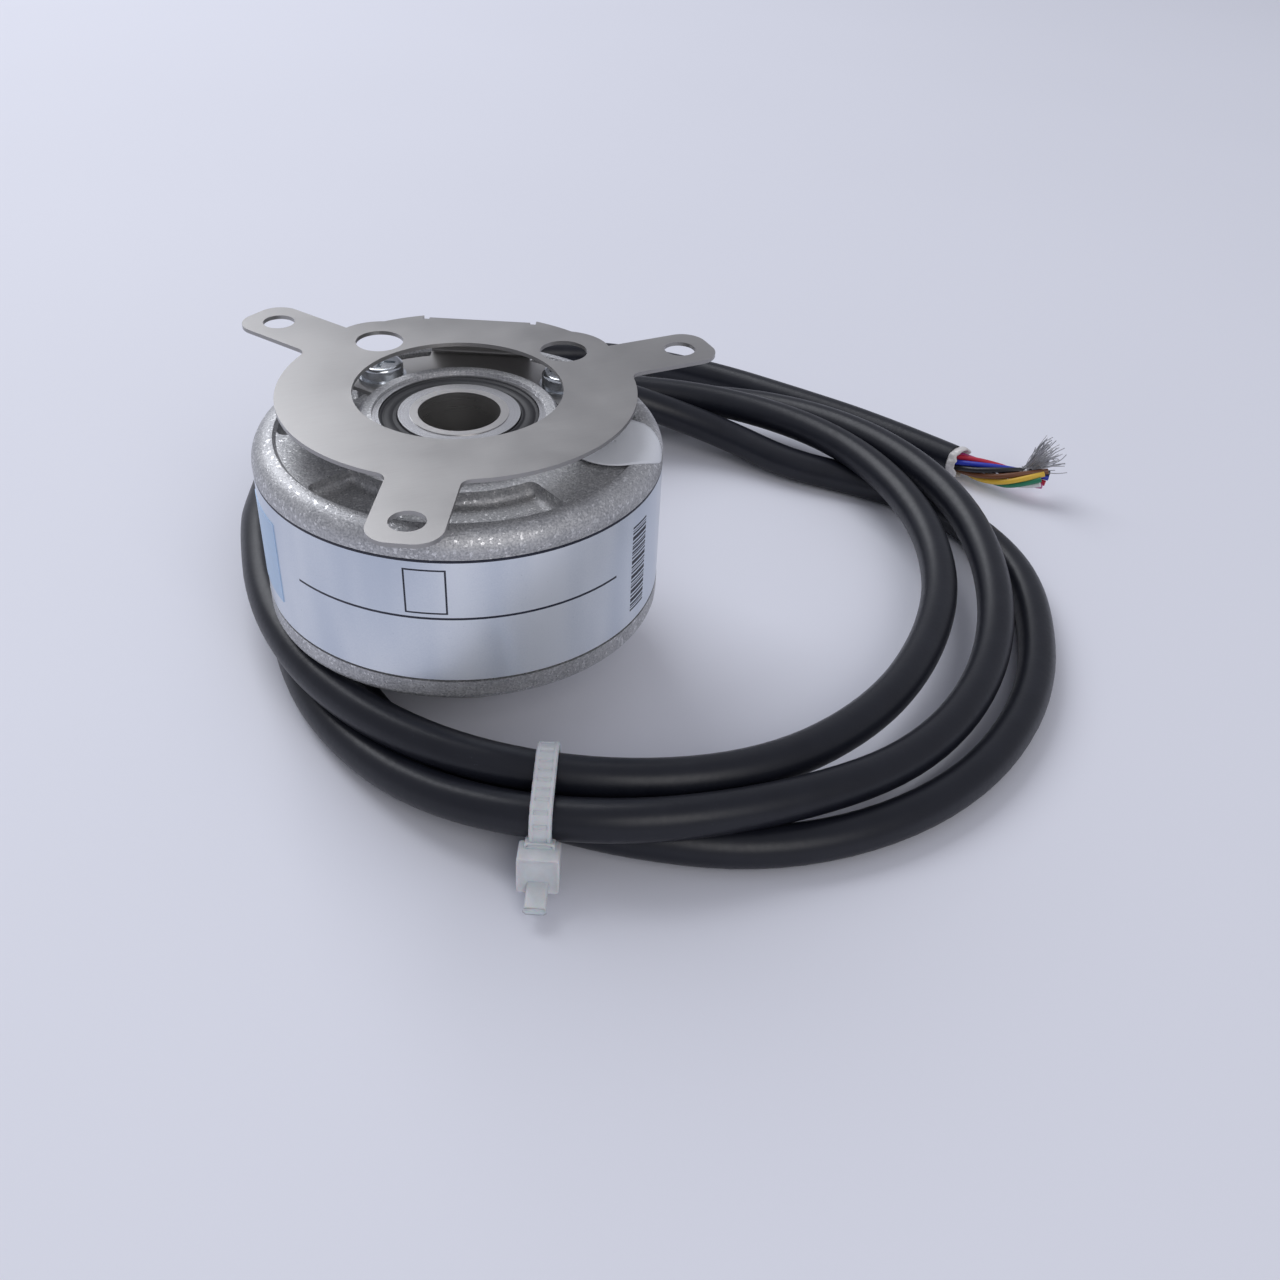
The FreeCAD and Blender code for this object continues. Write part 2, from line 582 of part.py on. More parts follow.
def ear_root(edge):
    """True for an upright edge where a side of an ear meets the round of the plate."""
    if edge.BoundBox.ZLength < PLATE_T / 2 or edge.BoundBox.XLength > 0.01:
        return False
    at = edge.CenterOfMass
    reach = math.hypot(at.x, at.y)
    if abs(reach - PLATE_R) > 0.3:
        return False
    angle = math.degrees(math.atan2(at.y, at.x))
    off = [abs((angle - ear + 180) % 360 - 180) for ear in EAR_ANGLES]
    return min(off) < math.degrees(math.asin(EAR_HALF_W / PLATE_R)) + 1


def coupling_washers():
    return group([ring(WASHER_R, M3_PAN[0] + SCREW_GAP, FOOT_TOP, FOOT_TOP + WASHER_T,
                       side * COUPLING_SCREW_X, COUPLING_SCREW_Y) for side in (-1, 1)])


def coupling_screws():
    seats = [V(side * COUPLING_SCREW_X, COUPLING_SCREW_Y, FOOT_TOP + WASHER_T) for side in (-1, 1)]
    return group([screw(M3_PAN, seat, COUPLING_SCREW_LEN, V(0, 0, -1)) for seat in seats])


# ---- optics and board ----
def circuit_board():
    board = ring(BOARD_R, BOARD_HOLE_R, BOARD_Z, BOARD_TOP)
    for angle in COVER_SCREW_ANGLES:
        at = polar(COVER_SCREW_PITCH_R, angle)
        board = board.cut(cylinder(COVER_BOSS_R + 0.4, BOARD_Z - 1, BOARD_TOP + 1, at.x, at.y))
    for angle in BOARD_SCREW_ANGLES:
        at = polar(BOARD_SCREW_PITCH_R, angle)
        board = board.cut(cylinder(M2_PAN[0] + SCREW_GAP, BOARD_Z - 1, BOARD_TOP + 1, at.x, at.y))
    return board


def board_screws():
    seats = [polar(BOARD_SCREW_PITCH_R, angle, BOARD_TOP) for angle in BOARD_SCREW_ANGLES]
    short = (M2_PAN[0], M2_PAN[1], 0.8)
    return group([screw(short, seat, BOARD_T + BOARD_LIFT + 1.0, V(0, 0, -1)) for seat in seats])


def photo_sensor():
    length, width, height = SENSOR_SIZE
    return box(SENSOR_AT_R - length / 2, SENSOR_AT_R + length / 2, -width / 2, width / 2,
               BOARD_TOP, BOARD_TOP + height)


def scanning_mask():
    length, width, _ = SENSOR_SIZE
    return box(SENSOR_AT_R - length / 2 + 0.4, SENSOR_AT_R + length / 2 - 0.4,
               -width / 2 + 0.4, width / 2 - 0.4, SENSOR_TOP, MASK_TOP)


def lamp_holder():
    """C-shaped bracket that stands on the board outside the disc and carries the lamp over it."""
    half = LAMP_HOLDER_W / 2
    arm_low = DISC_Z + DISC_T + DISC_GAP
    inner = DISC_R + 0.6
    post = box(inner, BOARD_R - 0.6, -half, half, BOARD_TOP, LAMP_HOLDER_TOP)
    arm = box(SENSOR_AT_R - 2.4, inner, -half, half, arm_low, LAMP_HOLDER_TOP)
    holder = union([post, arm])
    return holder.cut(cylinder(LAMP_R, arm_low - 1, arm_low + LAMP_H, SENSOR_AT_R, 0))


def lamp():
    arm_low = DISC_Z + DISC_T + DISC_GAP
    return cylinder(LAMP_R, arm_low, arm_low + LAMP_H, SENSOR_AT_R, 0)


def board_chips():
    return group([box(x - w / 2, x + w / 2, y - d / 2, y + d / 2, BOARD_TOP, BOARD_TOP + h)
                  for x, y, w, d, h in CHIPS])


def wire_terminal():
    width, depth, height = TERMINAL_SIZE
    y1 = BOARD_R - 1.6
    return box(-width / 2, width / 2, y1 - depth, y1, BOARD_TOP, BOARD_TOP + height)


def lead_wires():
    """Eight leads that drop from the end of the jacket into the board's terminal."""
    top = BOARD_TOP + TERMINAL_SIZE[2]
    y_end = BOARD_R - 1.6 - TERMINAL_SIZE[1] / 2
    leads = []
    for i in range(LEAD_COUNT):
        side = i - (LEAD_COUNT - 1) / 2
        angle = math.radians(360.0 * i / LEAD_COUNT)
        start = V(math.sin(angle) * 1.5, JACKET_IN_Y - LEAD_R, EXIT_Z + math.cos(angle) * 1.2)
        knee = V(side * LEAD_PITCH, y_end + 0.2, EXIT_Z + 0.4)
        end = V(side * LEAD_PITCH, y_end, top)
        leads.append(rod(LEAD_R, start, knee).fuse(rod(LEAD_R, knee, end)).fuse(
            Part.makeSphere(LEAD_R, knee)).removeSplitter())
    return leads


# ---- gland ----
def gland_body():
    face = EXIT_FACE_Y
    spigot = rod(GLAND_SPIGOT_R, V(0, CAVITY_R - 0.5, EXIT_Z), V(0, face, EXIT_Z))
    collar = hexagon(GLAND_COLLAR_R, V(0, face, EXIT_Z), GLAND_COLLAR_L, Y_AXIS)
    stub = rod(GLAND_STUB_R, V(0, face + GLAND_COLLAR_L, EXIT_Z),
               V(0, face + GLAND_COLLAR_L + GLAND_STUB_L, EXIT_Z))
    body = union([spigot, collar, stub])
    return body.cut(rod(CABLE_R, V(0, CAVITY_R - 2, EXIT_Z), V(0, face + 12, EXIT_Z)))


def gland_nut():
    start = NUT_END_Y - NUT_L
    nut = hexagon(NUT_R, V(0, start, EXIT_Z), NUT_L - 1.8, Y_AXIS)
    dome = Part.makeCone(NUT_R, NUT_R - 1.6, 1.8, V(0, start + NUT_L - 1.8, EXIT_Z), Y_AXIS)
    nut = union([nut, dome])
    nut = nut.cut(rod(GLAND_STUB_R, V(0, start - 1, EXIT_Z), V(0, start + NUT_L - NUT_LIP, EXIT_Z)))
    return nut.cut(rod(CABLE_R + 0.15, V(0, start, EXIT_Z), V(0, start + NUT_L + 1, EXIT_Z)))


def gland_seal():
    stub_end = EXIT_FACE_Y + GLAND_COLLAR_L + GLAND_STUB_L
    nut_inside = NUT_END_Y - NUT_LIP
    sleeve = rod(GLAND_STUB_R, V(0, stub_end, EXIT_Z), V(0, nut_inside, EXIT_Z))
    return sleeve.cut(rod(CABLE_R, V(0, stub_end - 1, EXIT_Z), V(0, nut_inside + 1, EXIT_Z)))


# ---- cable ----
def cord_wire(points):
    """Straight runs joined by tangent arcs, each as large as its two runs allow."""
    nodes = [V(*point) for point in points]
    edges = []
    cursor = nodes[0]
    radii = []
    for before, here, after in zip(nodes, nodes[1:], nodes[2:]):
        into = here.sub(before)
        out = after.sub(here)
        reach = RUN_SHARE * min(into.Length, out.Length)
        half = into.getAngle(out) / 2
        radii.append(reach / math.tan(half))
        into.normalize()
        out.normalize()
        start = here.sub(V(into).multiply(reach))
        end = here.add(V(out).multiply(reach))
        inward = out.sub(into)
        inward.normalize()
        apex = here.add(V(inward).multiply(radii[-1] * (1 / math.cos(half) - 1)))
        edges.append(Part.LineSegment(cursor, start).toShape())
        edges.append(Part.Arc(start, apex, end).toShape())
        cursor = end
    edges.append(Part.LineSegment(cursor, nodes[-1]).toShape())
    return Part.Wire(edges), radii


def tube(points, radius, name=""):
    """Round tube along a cord's route; prints its bends and its volume check."""
    wire, radii = cord_wire(points)
    start = V(*points[0])
    direction = V(*points[1]).sub(start)
    section = Part.Wire(Part.makeCircle(radius, start, direction))
    solid = wire.makePipeShell([section], True, False)
    expected = math.pi * radius ** 2 * wire.Length
    if name:
        print(name, "length %.1f" % wire.Length, "volume ratio %.4f" % (solid.Volume / expected),
              "radii", ["%.1f" % value for value in radii])
    return solid


def coil_edge(radii):
    """Smooth closed curve through radii given every even step round the coil's centre."""
    step = 360.0 / len(radii)
    points = [polar(radius, step * i).add(V(COIL_CENTRE[0], COIL_CENTRE[1], 0))
              for i, radius in enumerate(radii)]
    curve = Part.BSplineCurve()
    curve.interpolate(Points=points, PeriodicFlag=True)
    return Part.Wire(curve.toShape())


def cable_entry():
    """The stretch of cable that the gland holds, from inside the housing to the nut's mouth."""
    return rod(CABLE_R, V(0, JACKET_IN_Y, EXIT_Z), V(0, NUT_END_Y, EXIT_Z))


def cable_coil():
    outer = Part.Face(coil_edge(COIL_OUTER)).extrude(V(0, 0, COIL_H))
    inner = Part.Face(coil_edge(COIL_INNER)).extrude(V(0, 0, COIL_H + 2))
    return outer.cut(moved(inner, V(0, 0, -1)))


def cable_tie():
    """Nylon tie: a flat band round the loops, its head at the front and the cut end of its tail."""
    x0, x1 = TIE_X
    y0, y1 = TIE_Y
    outer = box(x0, x1, y0, y1, 0, TIE_TOP)
    outer = outer.makeFillet(TIE_ROUND, edges_where(outer, lambda e: e.BoundBox.XLength > (x1 - x0) / 2))
    inner = box(x0 - 1, x1 + 1, y0 + TIE_T, y1 - TIE_T, TIE_T, TIE_TOP - TIE_T)
    inner = inner.makeFillet(TIE_ROUND - TIE_T,
                             edges_where(inner, lambda e: e.BoundBox.XLength > (x1 - x0) / 2))
    band = outer.cut(inner)
    mid = (x0 + x1) / 2
    width, depth, height = TIE_HEAD
    front = y0 - depth + TIE_T
    head = box(mid - width / 2, mid + width / 2, front, y0 + TIE_T * 0.6, 1.6, 1.6 + height)
    head = head.makeFillet(0.5, edges_where(head, lambda e: e.BoundBox.YLength > depth / 2))
    tail_w, tail_l, tail_t = TIE_TAIL
    tail = box(mid - tail_w / 2, mid + tail_w / 2, front - tail_l, front + 0.2, 2.2, 2.2 + tail_t)
    return union([band, head, tail])


def cable_foil():
    end = V(*TAIL_ROUTE[-1])
    direction = end.sub(V(*TAIL_ROUTE[-2])).normalize()
    return Part.makeCone(CABLE_R - 0.3, FOIL_TIP_R, FOIL_L, end, direction)


def core_route(i):
    """Centre line of one stripped core, on a ring that opens a little towards its end."""
    angle = math.radians(360.0 * i / CORE_COUNT)
    last = len(CORE_ROUTE) - 1
    points = []
    for k, (x, y, z) in enumerate(CORE_ROUTE):
        spread = CORE_RING_R * (1 + (CORE_SPREAD - 1) * k / last)
        points.append((x + 0.62 * spread * math.cos(angle), y + 0.78 * spread * math.cos(angle),
                       z + spread * math.sin(angle)))
    return points


def stripped_cores():
    start = V(*TAIL_ROUTE[-1])
    direction = start.sub(V(*TAIL_ROUTE[-2])).normalize()
    beyond = start.add(V(direction).multiply(FOIL_L))
    keep = Part.makeCylinder(20, 40, beyond, direction)
    return [tube(core_route(i), CORE_R).common(keep) for i in range(CORE_COUNT)]


def shield_braid():
    start = V(*BRAID_START)
    direction = V(*BRAID_END).sub(start)
    return Part.makeCone(BRAID_R[0], BRAID_R[1], direction.Length, start, direction)


# ---- writing ----
def build():
    nodes = {}
    for name, z0 in (("front", FRONT_BEARING_Z), ("rear", REAR_BEARING_Z)):
        outer, inner, balls, cage, seals = bearing_parts(z0)
        nodes[name + "_outer_ring"] = outer
        nodes[name + "_inner_ring"] = inner
        nodes[name + "_balls"] = balls
        nodes[name + "_ball_cage"] = cage
        nodes[name + "_bearing_seals"] = seals
    nodes["hollow_shaft"] = hollow_shaft()
    nodes["retaining_ring"] = retaining_ring()
    nodes["inner_spacer"] = inner_spacer()
    nodes["disc_hub"] = disc_hub()
    nodes["code_disc"] = code_disc()
    nodes["clamp_collar"] = clamp_collar()
    nodes["collar_screw"] = collar_screw()
    nodes["housing_body"] = housing_body()
    nodes["cover_gasket"] = cover_gasket()
    nodes["rear_cover"] = rear_cover()
    nodes["cover_screws"] = cover_screws()
    nodes["rear_seal"] = rear_seal()
    nodes["name_label"] = name_label()
    nodes["side_sticker"] = side_sticker()
    nodes["seal_sticker"] = seal_sticker()
    nodes["spring_plate"] = spring_plate()
    nodes["coupling_washers"] = coupling_washers()
    nodes["coupling_screws"] = coupling_screws()
    nodes["circuit_board"] = circuit_board()
    nodes["board_screws"] = board_screws()
    nodes["photo_sensor"] = photo_sensor()
    nodes["scanning_mask"] = scanning_mask()
    nodes["lamp_holder"] = lamp_holder()
    nodes["lamp"] = lamp()
    nodes["board_chips"] = board_chips()
    nodes["wire_terminal"] = wire_terminal()
    nodes["lead_wires"] = group(lead_wires())
    nodes["gland_body"] = gland_body()
    nodes["gland_nut"] = gland_nut()
    nodes["gland_seal"] = gland_seal()
    nodes["cable_entry"] = cable_entry()
    nodes["cable_lead"] = tube(LEAD_ROUTE, CABLE_R, "cable_lead")
    nodes["cable_coil"] = cable_coil()
    nodes["cable_tail"] = tube(TAIL_ROUTE, CABLE_R, "cable_tail")
    nodes["cable_tie"] = cable_tie()
    nodes["cable_foil"] = cable_foil()
    nodes["stripped_cores"] = group(stripped_cores())
    nodes["shield_braid"] = shield_braid()
    return nodes


os.makedirs("parts", exist_ok=True)
for node, shape in build().items():
    shape.exportStep(os.path.join("parts", node + ".step"))
    print(node, len(shape.Solids), "solids", "valid" if shape.isValid() else "NOT VALID",
          "volume %.1f" % shape.Volume)
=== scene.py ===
"""Looks of a hollow-shaft rotary encoder with an eared spring plate and three loose loops of cable.

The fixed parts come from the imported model. This script dresses them, and builds the soft and fine
pieces in detail: the cable, its tie, the stripped end, the bearing seals and the round sticker.
Metres, +Z up along the shaft, origin at the lower end of the hollow shaft.
"""

import json
import logging
import math
import random
from dataclasses import dataclass, field
from enum import Enum
from typing import Any, Dict, List, Optional, Sequence, Tuple, Union

import bmesh
import bpy
from mathutils import Matrix, Vector

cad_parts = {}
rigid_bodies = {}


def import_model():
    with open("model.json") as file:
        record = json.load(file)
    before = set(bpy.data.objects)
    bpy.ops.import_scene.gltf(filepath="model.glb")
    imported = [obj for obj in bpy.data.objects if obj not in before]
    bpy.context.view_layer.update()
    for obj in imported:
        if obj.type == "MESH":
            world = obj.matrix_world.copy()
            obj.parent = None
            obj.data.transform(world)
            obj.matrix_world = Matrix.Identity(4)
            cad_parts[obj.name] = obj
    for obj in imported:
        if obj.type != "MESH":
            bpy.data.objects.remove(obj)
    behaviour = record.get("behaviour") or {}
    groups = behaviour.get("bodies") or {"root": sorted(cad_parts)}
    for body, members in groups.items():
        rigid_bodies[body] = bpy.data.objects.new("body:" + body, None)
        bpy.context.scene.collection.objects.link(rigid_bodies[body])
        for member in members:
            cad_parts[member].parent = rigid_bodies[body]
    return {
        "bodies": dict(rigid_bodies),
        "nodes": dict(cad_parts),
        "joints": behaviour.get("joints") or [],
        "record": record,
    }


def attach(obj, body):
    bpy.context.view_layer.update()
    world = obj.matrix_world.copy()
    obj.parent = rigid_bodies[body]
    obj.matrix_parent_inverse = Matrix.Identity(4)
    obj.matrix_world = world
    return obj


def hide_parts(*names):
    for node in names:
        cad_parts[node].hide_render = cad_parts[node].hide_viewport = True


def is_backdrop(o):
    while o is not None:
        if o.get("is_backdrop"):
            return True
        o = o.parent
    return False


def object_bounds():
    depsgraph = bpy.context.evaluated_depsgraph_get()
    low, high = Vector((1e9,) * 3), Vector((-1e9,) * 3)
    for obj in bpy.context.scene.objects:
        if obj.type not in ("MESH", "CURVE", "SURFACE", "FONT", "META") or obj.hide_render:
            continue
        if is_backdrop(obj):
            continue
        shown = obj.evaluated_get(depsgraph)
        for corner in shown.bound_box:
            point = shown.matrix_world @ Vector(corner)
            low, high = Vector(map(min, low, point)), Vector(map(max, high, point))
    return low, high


LOG = logging.getLogger("encoder")
MM = 0.001
Colour = Tuple[float, float, float]
Point = Tuple[float, float, float]
Number = Union[float, "Socket"]


# ---------------------------------------------------------------- shader helpers
class Socket:
    """One value or colour in a finish's node tree; arithmetic on it adds Math nodes."""

    def __init__(self, paint: "Paint", link: Any) -> None:
        """Args: paint: the finish being mixed. link: the Blender output socket."""
        self.paint = paint
        self.link = link

    def math(self, operation: str, *others: Number, swap: bool = False) -> "Socket":
        """Adds one Math node.

        Args:
            operation: the node's operation.
            others: its further values.
            swap: put this socket second instead of first.

        Returns:
            The node's value.
        """
        values = [self, *others]
        if swap:
            values.reverse()
        return self.paint.node("ShaderNodeMath", {"operation": operation}, dict(enumerate(values)))

    def __add__(self, other: Number) -> "Socket":
        """Sum."""
        return self.math("ADD", other)

    __radd__ = __add__

    def __sub__(self, other: Number) -> "Socket":
        """Difference."""
        return self.math("SUBTRACT", other)

    def __rsub__(self, other: Number) -> "Socket":
        """Difference, the other way round."""
        return self.math("SUBTRACT", other, swap=True)

    def __mul__(self, other: Number) -> "Socket":
        """Product."""
        return self.math("MULTIPLY", other)

    __rmul__ = __mul__

    def __truediv__(self, other: Number) -> "Socket":
        """Quotient."""
        return self.math("DIVIDE", other)

    def __rtruediv__(self, other: Number) -> "Socket":
        """Quotient, the other way round."""
        return self.math("DIVIDE", other, swap=True)

    def __pow__(self, other: Number) -> "Socket":
        """Power."""
        return self.math("POWER", other)

    def over(self, limit: Number) -> "Socket":
        """1 where this is over the limit, else 0."""
        return self.math("GREATER_THAN", limit)

    def sine(self) -> "Socket":
        """Sine of the value in radians."""
        return self.math("SINE")

    def band(self, low: float, high: float) -> "Socket":
        """1 between low and high, else 0."""
        return self.over(low) * (1 - self.over(high))

    def smooth(self, low: float, high: float, out_low: float = 0.0, out_high: float = 1.0) -> "Socket":
        """Eases from out_low to out_high as the value goes from low to high."""
        values = {0: self, 1: low, 2: high, 3: out_low, 4: out_high}
        return self.paint.node("ShaderNodeMapRange", {"interpolation_type": "SMOOTHSTEP"}, values)


class Paint:
    """One finish while its nodes are being put together."""

    def __init__(self, name: str) -> None:
        """Args: name: the finish's name."""
        self.material = bpy.data.materials.new(name)
        self.material.use_nodes = True
        self.tree = self.material.node_tree
        self.shader = self.tree.nodes["Principled BSDF"]

    def node(self, kind: str, settings: Optional[Dict[str, Any]] = None,
             values: Optional[Dict[Any, Any]] = None, output: Union[int, str] = 0) -> Socket:
        """Adds any node.

        Args:
            kind: the node's type.
            settings: its own settings.
            values: values or links of its sockets, by name or place.
            output: which output to hand back.

        Returns:
            The chosen output.
        """
        made = self.tree.nodes.new(kind)
        for key, value in (settings or {}).items():
            setattr(made, key, value)
        for key, value in (values or {}).items():
            self.feed(made.inputs[key], value)
        return Socket(self, made.outputs[output])

    def feed(self, socket: Any, value: Any) -> None:
        """Links a Socket to an input, or sets the input's own value."""
        if isinstance(value, Socket):
            self.tree.links.new(value.link, socket)
        elif isinstance(value, tuple) and len(value) == 3 and socket.type == "RGBA":
            socket.default_value = (*value, 1.0)
        else:
            socket.default_value = value

    def set(self, **values: Any) -> None:
        """Sets the shader's inputs; an underscore in a name stands for a space."""
        for key, value in values.items():
            self.feed(self.shader.inputs[key.replace("_", " ")], value)

    def place(self) -> Socket:
        """Where a point lies on the object, in millimetres."""
        spot = self.node("ShaderNodeTexCoord", output="Object")
        return self.node("ShaderNodeVectorMath", {"operation": "SCALE"}, {0: spot, "Scale": 1000.0})

    def parts(self, vector: Socket) -> Tuple[Socket, Socket, Socket]:
        """The three coordinates of a vector."""
        first = self.node("ShaderNodeSeparateXYZ", values={0: vector})
        outs = first.link.node.outputs
        return first, Socket(self, outs[1]), Socket(self, outs[2])

    def join(self, x: Number, y: Number, z: Number) -> Socket:
        """A vector from three numbers."""
        return self.node("ShaderNodeCombineXYZ", values={0: x, 1: y, 2: z})

    def noise(self, spot: Socket, per_mm: float, detail: float = 2.0) -> Socket:
        """Smooth noise from 0 to 1 with about per_mm waves in a millimetre."""
        return self.node("ShaderNodeTexNoise", values={"Vector": spot, "Scale": per_mm, "Detail": detail})

    def mix(self, share: Number, first: Any, second: Any) -> Socket:
        """A colour between two colours."""
        made = self.tree.nodes.new("ShaderNodeMix")
        made.data_type = "RGBA"
        self.feed(made.inputs[0], share)
        self.feed(made.inputs[6], first)
        self.feed(made.inputs[7], second)
        return Socket(self, made.outputs[2])

    def bump(self, height: Socket, depth_mm: float, strength: float = 1.0) -> None:
        """Raises the surface by a height from 0 to 1 of depth_mm."""
        self.set(Normal=self.node("ShaderNodeBump", values={
            "Height": height, "Distance": depth_mm * MM, "Strength": strength}))


# ---------------------------------------------------------------- finishes
class Grain(Enum):
    """How a plain finish is grained."""

    FINE = "fine"
    AROUND = "turned around the shaft"
    ALONG = "drawn along one way"


@dataclass(frozen=True)
class PlainFinish:
    """A finish with one colour that wanders a little, and a grain."""

    name: str
    colour: Colour
    roughness: float = 0.5
    metallic: float = 0.0
    grain: Grain = Grain.FINE
    per_mm: float = 6.0
    depth: float = 0.01
    wander: float = 0.12

    def grained(self, paint: Paint) -> Socket:
        """The grain's height from 0 to 1."""
        spot = paint.place()
        if self.grain is Grain.FINE:
            return paint.noise(spot, self.per_mm, 3.0)
        x, y, z = paint.parts(spot)
        if self.grain is Grain.AROUND:
            radius = (x * x + y * y) ** 0.5
            return paint.noise(paint.join(radius * self.per_mm, z * self.per_mm, 0.0), 1.0, 2.0)
        return paint.noise(paint.join(x * 0.12, y * self.per_mm, z * self.per_mm), 1.0, 3.0)

    def build(self) -> bpy.types.Material:
        """Returns: the finished material."""
        paint = Paint(self.name)
        height = self.grained(paint)
        cloud = paint.noise(paint.place(), 0.25, 2.0)
        dark = tuple(c * (1 - self.wander) for c in self.colour)
        light = tuple(min(1.0, c * (1 + self.wander)) for c in self.colour)
        paint.set(Base_Color=paint.mix(cloud * 0.6 + height * 0.4, dark, light),
                  Roughness=(height - 0.5) * 0.16 + (cloud - 0.5) * 0.08 + self.roughness,
                  Metallic=self.metallic)
        paint.bump(height, self.depth)
        return paint.material


@dataclass(frozen=True)
class BlastedCasting:
    """Shot-blasted cast aluminium: a coarse skin of small facets, some lightened with painted glints."""

    name: str = "shot-blasted casting"
    dull: Colour = (0.33, 0.335, 0.35)
    # colour of the painted glints on single facets
    bright: Colour = (0.80, 0.80, 0.80)

    def build(self) -> bpy.types.Material:
        """Returns: the finished material."""
        paint = Paint(self.name)
        spot = paint.place()
        pits = paint.noise(spot, 4.2, 4.0)
        cells = paint.node("ShaderNodeTexVoronoi", {"feature": "F1"}, {"Vector": spot, "Scale": 3.4},
                           output="Color")
        tone = paint.parts(cells)[0]
        cloud = paint.noise(spot, 0.16, 2.0)
        # painted highlight: some facet cells are lightened towards the bright colour, standing in for glints of
        # the lamp
        painted_glint = tone.smooth(0.80, 0.97)
        body = paint.mix((pits * 0.75 + cloud * 0.25).smooth(0.30, 0.66), self.dull, (0.60, 0.60, 0.605))
        paint.set(Base_Color=paint.mix(painted_glint * 0.75, body, self.bright),
                  Metallic=0.72,
                  Roughness=0.50 - painted_glint * 0.22 + (pits - 0.5) * 0.2)
        paint.bump(pits * 0.7 + tone * 0.3, 0.11, 0.75)
        return paint.material


@dataclass(frozen=True)
class RolledSheet:
    """Satin spring steel sheet, rolled one way, with faint smears and fine scratches."""

    name: str = "rolled spring sheet"
    colour: Colour = (0.36, 0.352, 0.345)

    def build(self) -> bpy.types.Material:
        """Returns: the finished material."""
        paint = Paint(self.name)
        x, y, z = paint.parts(paint.place())
        along = x * 0.9 + y * 0.42
        across = y * 0.9 - x * 0.42
        drawn = paint.noise(paint.join(along * 0.35, across * 9.0, z), 1.0, 3.0)
        smear = paint.noise(paint.join(along, across, z), 0.12, 3.0)
        scratch = paint.noise(paint.join(along * 6.5, across * 0.22, z), 1.0, 2.0).smooth(0.70, 0.76)
        shade = drawn * 0.35 + smear * 0.65
        paint.set(Base_Color=paint.mix(shade, tuple(c * 0.86 for c in self.colour),
                                       tuple(c * 1.16 for c in self.colour)),
                  Metallic=0.80,
                  Roughness=0.36 + (smear - 0.5) * 0.22 + scratch * 0.06)
        paint.bump(drawn + scratch * 0.3, 0.006)
        return paint.material


@dataclass(frozen=True)
class PrintedFoil:
    """Silver-blue satin foil with a painted sheen and plain printing: a top line, a rule, an empty frame and
    bars.
    """

    name: str = "printed label foil"
    foil: Colour = (0.60, 0.66, 0.76)
    # colour that the painted sheen lightens the foil towards
    pale: Colour = (0.80, 0.84, 0.90)
    ink: Colour = (0.012, 0.014, 0.03)
    top_mm: float = 30.2
    rule: Tuple[float, float, float, float] = (-131.0, -36.0, 22.25, 22.55)
    frame: Tuple[float, float, float, float] = (-97.0, -85.8, 23.0, 29.0)
    frame_line: float = 0.22
    bars: Tuple[float, float, float, float] = (-28.6, -20.8, 15.2, 27.6)
    radius_mm: float = 24.97

    def build(self) -> bpy.types.Material:
        """Returns: the finished material."""
        paint = Paint(self.name)
        spot = paint.place()
        x, y, z = paint.parts(spot)
        turn = y.math("ARCTAN2", x) * math.degrees(1.0)
        ink = z.over(self.top_mm - 0.28)
        a0, a1, z0, z1 = self.rule
        ink = ink + turn.band(a0, a1) * z.band(z0, z1)
        a0, a1, z0, z1 = self.frame
        edge = math.degrees(self.frame_line / self.radius_mm)
        hollow = turn.band(a0 + edge, a1 - edge) * z.band(z0 + self.frame_line, z1 - self.frame_line)
        ink = ink + turn.band(a0, a1) * z.band(z0, z1) * (1 - hollow)
        a0, a1, z0, z1 = self.bars
        wave = (z * 9.0).sine() * 0.5 + (z * 14.7).sine() * 0.5
        ink = ink + turn.band(a0, a1) * z.band(z0, z1) * wave.over(-0.12)
        ink = ink.math("MINIMUM", 1.0)
        # painted sheen: bands round the label lighten the foil towards the pale colour, standing in for a
        # reflection; a small share of the mix is real wear
        painted_sheen = paint.noise(paint.join(turn * 0.045, 0.0, z * 0.02), 1.0, 2.0)
        wear = paint.noise(spot, 5.0, 3.0)
        foil = paint.mix((painted_sheen * 0.85 + wear * 0.15).smooth(0.32, 0.68), self.foil, self.pale)
        paint.set(Base_Color=paint.mix(ink * (1 - wear.smooth(0.70, 0.80) * 0.3), foil, self.ink),
                  Metallic=0.42 - ink * 0.42,
                  Roughness=0.30 + (wear - 0.5) * 0.1 + ink * 0.2)
        paint.bump(wear * 0.6 + ink * 0.4, 0.008)
        return paint.material


@dataclass(frozen=True)
class LinedGlass:
    """Clear code disc with a ring of fine dark lines."""

    name: str = "code disc glass"
    lines: int = 600
    ring_mm: Tuple[float, float] = (12.4, 15.6)

    def build(self) -> bpy.types.Material:
        """Returns: the finished material."""
        paint = Paint(self.name)
        x, y, _ = paint.parts(paint.place())
        radius = (x * x + y * y) ** 0.5
        turn = y.math("ARCTAN2", x)
        lines = (turn * float(self.lines)).sine().over(0.0) * radius.band(*self.ring_mm)
        paint.set(Base_Color=paint.mix(lines, (0.75, 0.80, 0.80), (0.03, 0.03, 0.03)),
                  Roughness=0.12, Alpha=0.45 + lines * 0.5)
        return paint.material


